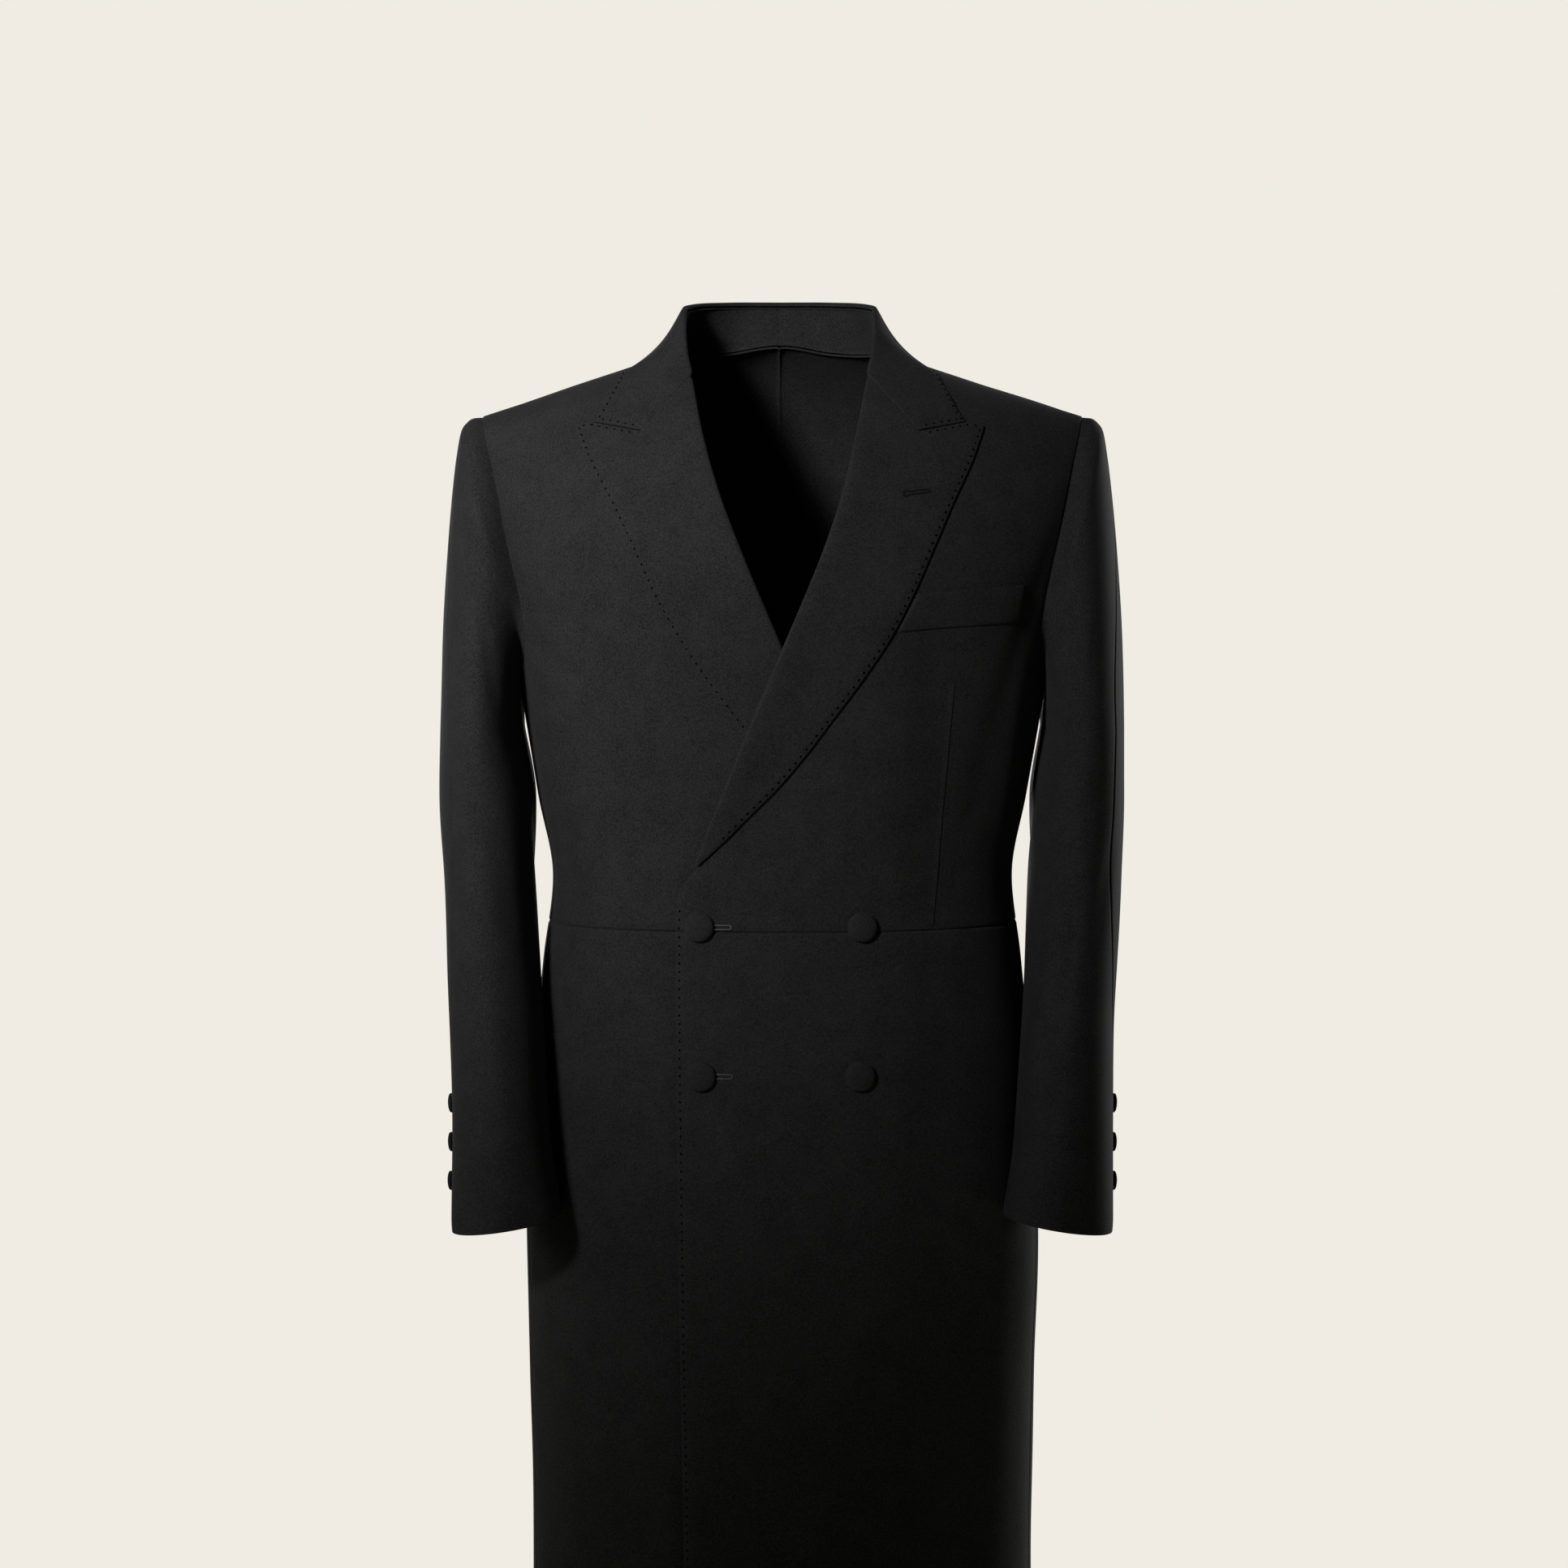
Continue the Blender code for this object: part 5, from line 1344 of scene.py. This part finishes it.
def make_buttonhole(name, start, end, lie, half_width, material, eyelet=0.0):
    """A worked buttonhole: a purled cord round a slot that is a long superellipse, wider at its
    eyelet. The cord's radius ripples once for each stitch."""
    count = 260
    angle = circle(count)
    first, last = np.array((start.x, start.height)), np.array((end.x, end.height))
    way = (last - first) / np.linalg.norm(last - first)
    square = np.array((-way[1], way[0]))
    half_length = np.linalg.norm(last - first) / 2
    far = -half_length * np.sign(np.cos(angle)) * np.abs(np.cos(angle)) ** 0.5
    wide = np.sign(np.sin(angle)) * np.abs(np.sin(angle)) ** 0.35
    wide = wide * (half_width + eyelet * bell(far + half_length - EYELET_INSIDE, EYELET_WIDTH))
    flat = (first + last) / 2 + far[:, None] * way + wide[:, None] * square
    places = lifted_place(flat[:, 0], flat[:, 1], lie)
    path = on_body(places, 1, lie)
    normal = body_normal(places)
    forward = unit(np.roll(path, -1, axis=0) - np.roll(path, 1, axis=0))
    sideways = np.cross(normal, forward)
    run = np.linalg.norm(np.roll(path, -1, axis=0) - path, axis=-1).cumsum()
    ripple = 1 + PURL_HEIGHT * np.cos(2 * np.pi * run / PURL_PITCH)
    turn = circle(8)
    cord = (np.cos(turn)[None, :, None] * sideways[:, None] * CORD_HALF_WIDTH
            + np.sin(turn)[None, :, None] * normal[:, None] * CORD_HALF_HEIGHT)
    points = (path[:, None] + cord * ripple[:, None, None]).reshape(-1, 3)
    sew(name, points, outward(points, ring_faces(count, 8, closed=True)), material)


# Materials

CLOUD_SIZE = 0.022
RIB_PITCH = 0.0013
WAVES_PER_UNIT = 0.314  # of the wave texture's scale, for one rib in each pitch
STRAND_SIZE = 0.0008
STRAND_TONES = (0.7, 1.3)  # darkest and palest strand, as shares of the colour


def set_inputs(tree, node, inputs):
    """Gives a node's inputs their values, or links them from sockets."""
    for key, value in inputs.items():
        if isinstance(value, bpy.types.NodeSocket):
            tree.links.new(value, node.inputs[key])
        else:
            node.inputs[key].default_value = value


def add_node(tree, kind, inputs, **settings):
    node = tree.nodes.new("ShaderNode" + kind)
    for key, value in settings.items():
        setattr(node, key, value)
    set_inputs(tree, node, inputs)
    return node


def new_material(name, inputs):
    """A material with one shader, whose inputs start with these values."""
    material = bpy.data.materials.new(name)
    material.use_nodes = True
    tree = material.node_tree
    tree.nodes.clear()
    shader = add_node(tree, "BsdfPrincipled", {"Metallic": 0.0, "IOR": 1.5, **inputs})
    add_node(tree, "OutputMaterial", {"Surface": shader.outputs["BSDF"]})
    return material, tree, shader


def noise(tree, size, detail=2.0, roughness=0.5):
    """Noise fixed to the object, with spots about this many metres apart."""
    place = add_node(tree, "TexCoord", {}).outputs["Object"]
    settings = {"Vector": place, "Scale": 1 / size, "Detail": detail, "Roughness": roughness}
    return add_node(tree, "TexNoise", settings).outputs["Fac"]


def mix_colours(tree, share, first, second):
    return add_node(tree, "Mix", {"Factor": share, 6: first, 7: second}, data_type="RGBA").outputs[2]


def stretch(tree, value, low, high, top):
    """Low to high becomes 0 to top."""
    ends = {"Value": value, "From Min": low, "From Max": high, "To Min": 0.0, "To Max": top}
    return add_node(tree, "MapRange", ends).outputs["Result"]


def cloth_material(name, grain_size, bump, pale_share):
    """Worsted wool barathea, woven fine and pressed flat: matt, near black, with a faint dry grain
    of paler fibres and slow clouds where the nap lies differently. The weave's diagonal ribs are
    0.5 mm apart on the real cloth and are drawn wider, as fine as still shows."""
    material, tree, shader = new_material(name, {
        "Roughness": 0.85, "Specular IOR Level": 0.12, "Sheen Weight": 0.03, "Sheen Roughness": 0.5})
    grain = noise(tree, grain_size, 2.0, 0.6)
    clouds = noise(tree, CLOUD_SIZE, 3.0, 0.55)
    both = add_node(tree, "Math", {
        0: stretch(tree, grain, 0.28, 0.72, pale_share),
        1: stretch(tree, clouds, 0.35, 0.65, 1 - pale_share)}, operation="ADD").outputs["Value"]
    cloth_uv = add_node(tree, "UVMap", {}, uv_map="cloth").outputs["UV"]
    ribs = add_node(tree, "TexWave", {
        "Vector": cloth_uv, "Scale": WAVES_PER_UNIT / RIB_PITCH, "Distortion": 2.0, "Detail": 1.0,
        "Detail Scale": 2.0}, bands_direction="DIAGONAL").outputs["Fac"]
    ribs_bump = add_node(tree, "Bump", {
        "Height": ribs, "Strength": 0.35 * bump, "Distance": 0.0003}).outputs["Normal"]
    grain_bump = add_node(tree, "Bump", {
        "Height": grain, "Strength": bump, "Distance": 0.0006, "Normal": ribs_bump}).outputs["Normal"]
    mixed = mix_colours(tree, both, colours().wool, colours().wool_pale)
    set_inputs(tree, shader, {"Base Color": mixed, "Normal": grain_bump})
    return material


def thread_material(name, tone, roughness, shine):
    """Silk twist, waxed and drawn tight: smoother than the wool, with a narrow soft shine and a
    slight change of tone from strand to strand. Where it is pulled down into the nap, as a prick
    stitch is, hardly any shine is left."""
    material, tree, shader = new_material(name, {"Roughness": roughness, "Specular IOR Level": shine})
    dark, pale = ([min(part * change, 1.0) for part in tone[:3]] + [1.0] for change in STRAND_TONES)
    strands = noise(tree, STRAND_SIZE, 1.0)
    set_inputs(tree, shader, {"Base Color": mix_colours(tree, strands, dark, pale)})
    return material


def kept(name, make, *values):
    """A material by name, made the first time it is asked for."""
    return bpy.data.materials.get(name) or make(name, *values)


def wool():
    return kept("black_wool_barathea", cloth_material, 0.0013, 0.35, 0.85)


def button_cloth():
    return kept("wool_drawn_over_buttons", cloth_material, 0.0010, 0.25, 0.80)


def twist():
    return kept("silk_buttonhole_twist", thread_material, colours().twist, 0.5, 0.35)


def dark_twist():
    return kept("dark_buttonhole_twist", thread_material, colours().wool, 0.7, 0.1)


# The prick stitches' near black is partly the silk's own colour and partly painted shade of the pits
# they sink in.
def silk():
    return kept("silk_prick_stitching", thread_material, colours().silk, 0.9, 0.0)


# Stage

EYE = Vector((0.0013, -4.5, -0.05))
TARGET = Vector((0.0013, 0.0, -0.344))
FRAME_WIDTH = 1.217  # metres across the picture, at the coat's middle
FLOOR_HEIGHT = -1.52  # where the floor is when such a coat is worn
FLOOR_RADIUS = 2.6
CAST_LIGHT = 0.026  # of the room on the coat, where 1 would be as bright as the room looks
# Name, place, target and power of each light, and a disc's size. The coat darkens away from where
# the spots point.
SPOT = {"spot_size": np.radians(16.0), "spot_blend": 1.0, "shadow_soft_size": 0.45}
SPOTS = (
    ("key_high", (-1.61, -2.53, 1.35), (-0.17, 0, 0.05), 290.0),
    ("key_low", (-1.74, -2.53, 1.15), (-0.28, 0, -0.15), 800.0),
)
DISCS = (
    ("left", (-3.24, -0.27, 0.44), (0, 0, -0.40), 15.0, 1.6),
    ("right", (2.10, 2.40, 0.10), (0, 0, -0.40), 45.0, 1.6),
    ("back", (-0.5, 3.3, -0.1), (0, 0, -0.50), 55.0, 1.8),
)


def add_object(name, data):
    thing = bpy.data.objects.new(name, data)
    bpy.context.scene.collection.objects.link(thing)
    return thing


def add_aimed(data, place, target):
    """A light or a camera at a place, turned to its target."""
    thing = add_object(data.name, data)
    thing.location = place
    thing.rotation_euler = (Vector(target) - Vector(place)).to_track_quat("-Z", "Y").to_euler()
    return thing


def add_light(name, kind, place, target, power, settings):
    data = bpy.data.lights.new(name, kind)
    data.energy = power
    for key, value in settings.items():
        setattr(data, key, value)
    add_aimed(data, place, target)


def add_lights():
    """Spots from high on the viewer's left, and large soft discs at that side and behind."""
    for row in SPOTS:
        add_light(row[0], "SPOT", *row[1:], SPOT)
    for *row, size in DISCS:
        add_light(row[0], "AREA", *row[1:], {"shape": "DISK", "size": size})


def add_camera():
    data = bpy.data.cameras.new("photo_camera")
    data.sensor_width = 36
    data.lens = data.sensor_width * (TARGET - EYE).length / FRAME_WIDTH
    bpy.context.scene.camera = add_aimed(data, EYE, TARGET)


def add_world():
    """The pale room: seen plainly behind the coat, and weaker as light on it."""
    world = bpy.data.worlds.new("pale_room")
    world.use_nodes = True
    tree = world.node_tree
    tree.nodes.clear()
    cast, seen = (add_node(tree, "Background", {"Color": colours().backdrop, "Strength": strength})
                  for strength in (CAST_LIGHT, 1.0))
    ray = add_node(tree, "LightPath", {}).outputs["Is Camera Ray"]
    mix = add_node(tree, "MixShader", {
        0: ray, 1: cast.outputs["Background"], 2: seen.outputs["Background"]})
    add_node(tree, "OutputWorld", {"Surface": mix.outputs["Shader"]})
    bpy.context.scene.world = world


def add_floor():
    """A round pale floor, a grid of rings and spokes with one flat disc in the middle."""
    radii = np.linspace(0.0, FLOOR_RADIUS, 13)[1:]
    angles = circle(72)
    ring = joined(np.cos(angles), np.sin(angles), 0 * angles)
    points = (radii[:, None, None] * ring).reshape(-1, 3) + (0, 0, FLOOR_HEIGHT)
    faces = ring_faces(len(radii), len(angles))[:, ::-1].tolist() + [list(range(len(angles)))]
    mesh = bpy.data.meshes.new("pale_floor")
    mesh.from_pydata(points.tolist(), [], faces)
    material, tree, shader = new_material("painted_studio_floor", {"Roughness": 0.9})
    dusty = mix_colours(tree, noise(tree, 1 / 6), linear("#e6e2d9"), linear("#ece8df"))
    set_inputs(tree, shader, {"Base Color": dusty})
    mesh.materials.append(material)
    add_object("pale_floor", mesh)


# Operators

class FROCKCOAT_OT_foreparts(Operator):
    """Make the two foreparts, the left lying over the right"""

    bl_idname = "frock_coat.foreparts"
    bl_label = "Foreparts"
    bl_options = {"REGISTER", "UNDO"}

    def execute(self, context):
        for side in (1, -1):
            make_forepart(side)
            make_dart(side)
        return {"FINISHED"}


class FROCKCOAT_OT_lapels(Operator):
    """Make the two peaked lapels with their prick stitches"""

    bl_idname = "frock_coat.lapels"
    bl_label = "Lapels"
    bl_options = {"REGISTER", "UNDO"}

    def execute(self, context):
        for side in (1, -1):
            make_lapel(side)
            make_lapel_stitches(side)
        return {"FINISHED"}


class FROCKCOAT_OT_collar(Operator):
    """Make the collar's leaf and stand with its prick stitches"""

    bl_idname = "frock_coat.collar"
    bl_label = "Collar"
    bl_options = {"REGISTER", "UNDO"}

    def execute(self, context):
        make_collar()
        make_collar_stand()
        make_collar_stitches()
        return {"FINISHED"}


class FROCKCOAT_OT_backs(Operator):
    """Make the side bodies and the two backs, lapped as a vent below the waist"""

    bl_idname = "frock_coat.backs"
    bl_label = "Backs and side bodies"
    bl_options = {"REGISTER", "UNDO"}

    def execute(self, context):
        for side in (1, -1):
            make_side_body(side)
            make_back(side)
        return {"FINISHED"}


class FROCKCOAT_OT_skirts(Operator):
    """Make the skirts below the waist seam"""

    bl_idname = "frock_coat.skirts"
    bl_label = "Skirts"
    bl_options = {"REGISTER", "UNDO"}

    def execute(self, context):
        for side in (1, -1):
            make_skirts(side)
        make_front_edge_stitches()
        return {"FINISHED"}


class FROCKCOAT_OT_sleeves(Operator):
    """Make both sleeves in two pieces each"""

    bl_idname = "frock_coat.sleeves"
    bl_label = "Sleeves"
    bl_options = {"REGISTER", "UNDO"}

    def execute(self, context):
        for side in (1, -1):
            make_sleeve(side)
        return {"FINISHED"}


class FROCKCOAT_OT_welt(Operator):
    """Make the breast pocket's welt"""

    bl_idname = "frock_coat.welt"
    bl_label = "Breast welt"
    bl_options = {"REGISTER", "UNDO"}

    def execute(self, context):
        make_welt()
        return {"FINISHED"}


class FROCKCOAT_OT_buttons(Operator):
    """Make the covered buttons and the worked buttonholes"""

    bl_idname = "frock_coat.buttons"
    bl_label = "Buttons and buttonholes"
    bl_options = {"REGISTER", "UNDO"}

    def execute(self, context):
        make_front_buttons()
        for side in (1, -1):
            make_cuff_buttons(side)
        for name, (start, end) in FRONT_BUTTONHOLES.items():
            make_buttonhole(name, start, end, HOLE_LIE, HOLE_HALF_WIDTH, twist())
        lie = LIE + LAPEL_HOLE_LIE
        hole = "buttonhole_lapel", *LAPEL_BUTTONHOLE, lie, LAPEL_HOLE_HALF_WIDTH, dark_twist(), EYELET
        make_buttonhole(*hole)
        return {"FINISHED"}


class FROCKCOAT_OT_stage(Operator):
    """Make the camera, the lights, the pale room and the floor"""

    bl_idname = "frock_coat.stage"
    bl_label = "Stage"
    bl_options = {"REGISTER", "UNDO"}

    def execute(self, context):
        bpy.context.scene.view_settings.view_transform = "Standard"
        add_camera()
        add_world()
        add_floor()
        add_lights()
        return {"FINISHED"}


class FROCKCOAT_PT_panel(Panel):
    """The coat's pieces, in the order they are made"""

    bl_idname = "FROCKCOAT_PT_panel"
    bl_label = "Frock coat"
    bl_space_type = "VIEW_3D"
    bl_region_type = "UI"
    bl_category = "Frock coat"

    def draw(self, context):
        for operator in OPERATORS:
            self.layout.operator(operator.bl_idname)
        for group in (context.scene.frock_coat_sizes, context.scene.frock_coat_colours):
            for name in group.__annotations__:
                self.layout.prop(group, name)


OPERATORS = (
    FROCKCOAT_OT_stage,
    FROCKCOAT_OT_foreparts,
    FROCKCOAT_OT_lapels,
    FROCKCOAT_OT_collar,
    FROCKCOAT_OT_backs,
    FROCKCOAT_OT_skirts,
    FROCKCOAT_OT_sleeves,
    FROCKCOAT_OT_welt,
    FROCKCOAT_OT_buttons,
)
CLASSES = (FROCKCOAT_PG_sizes, FROCKCOAT_PG_colours, *OPERATORS, FROCKCOAT_PT_panel)


def register():
    for each in CLASSES:
        bpy.utils.register_class(each)
    bpy.types.Scene.frock_coat_sizes = PointerProperty(type=FROCKCOAT_PG_sizes)
    bpy.types.Scene.frock_coat_colours = PointerProperty(type=FROCKCOAT_PG_colours)


def unregister():
    del bpy.types.Scene.frock_coat_colours
    del bpy.types.Scene.frock_coat_sizes
    for each in reversed(CLASSES):
        bpy.utils.unregister_class(each)


def main():
    register()
    for operator in OPERATORS:
        _, name = operator.bl_idname.split(".")
        getattr(bpy.ops.frock_coat, name)()


if __name__ == "__main__":
    main()
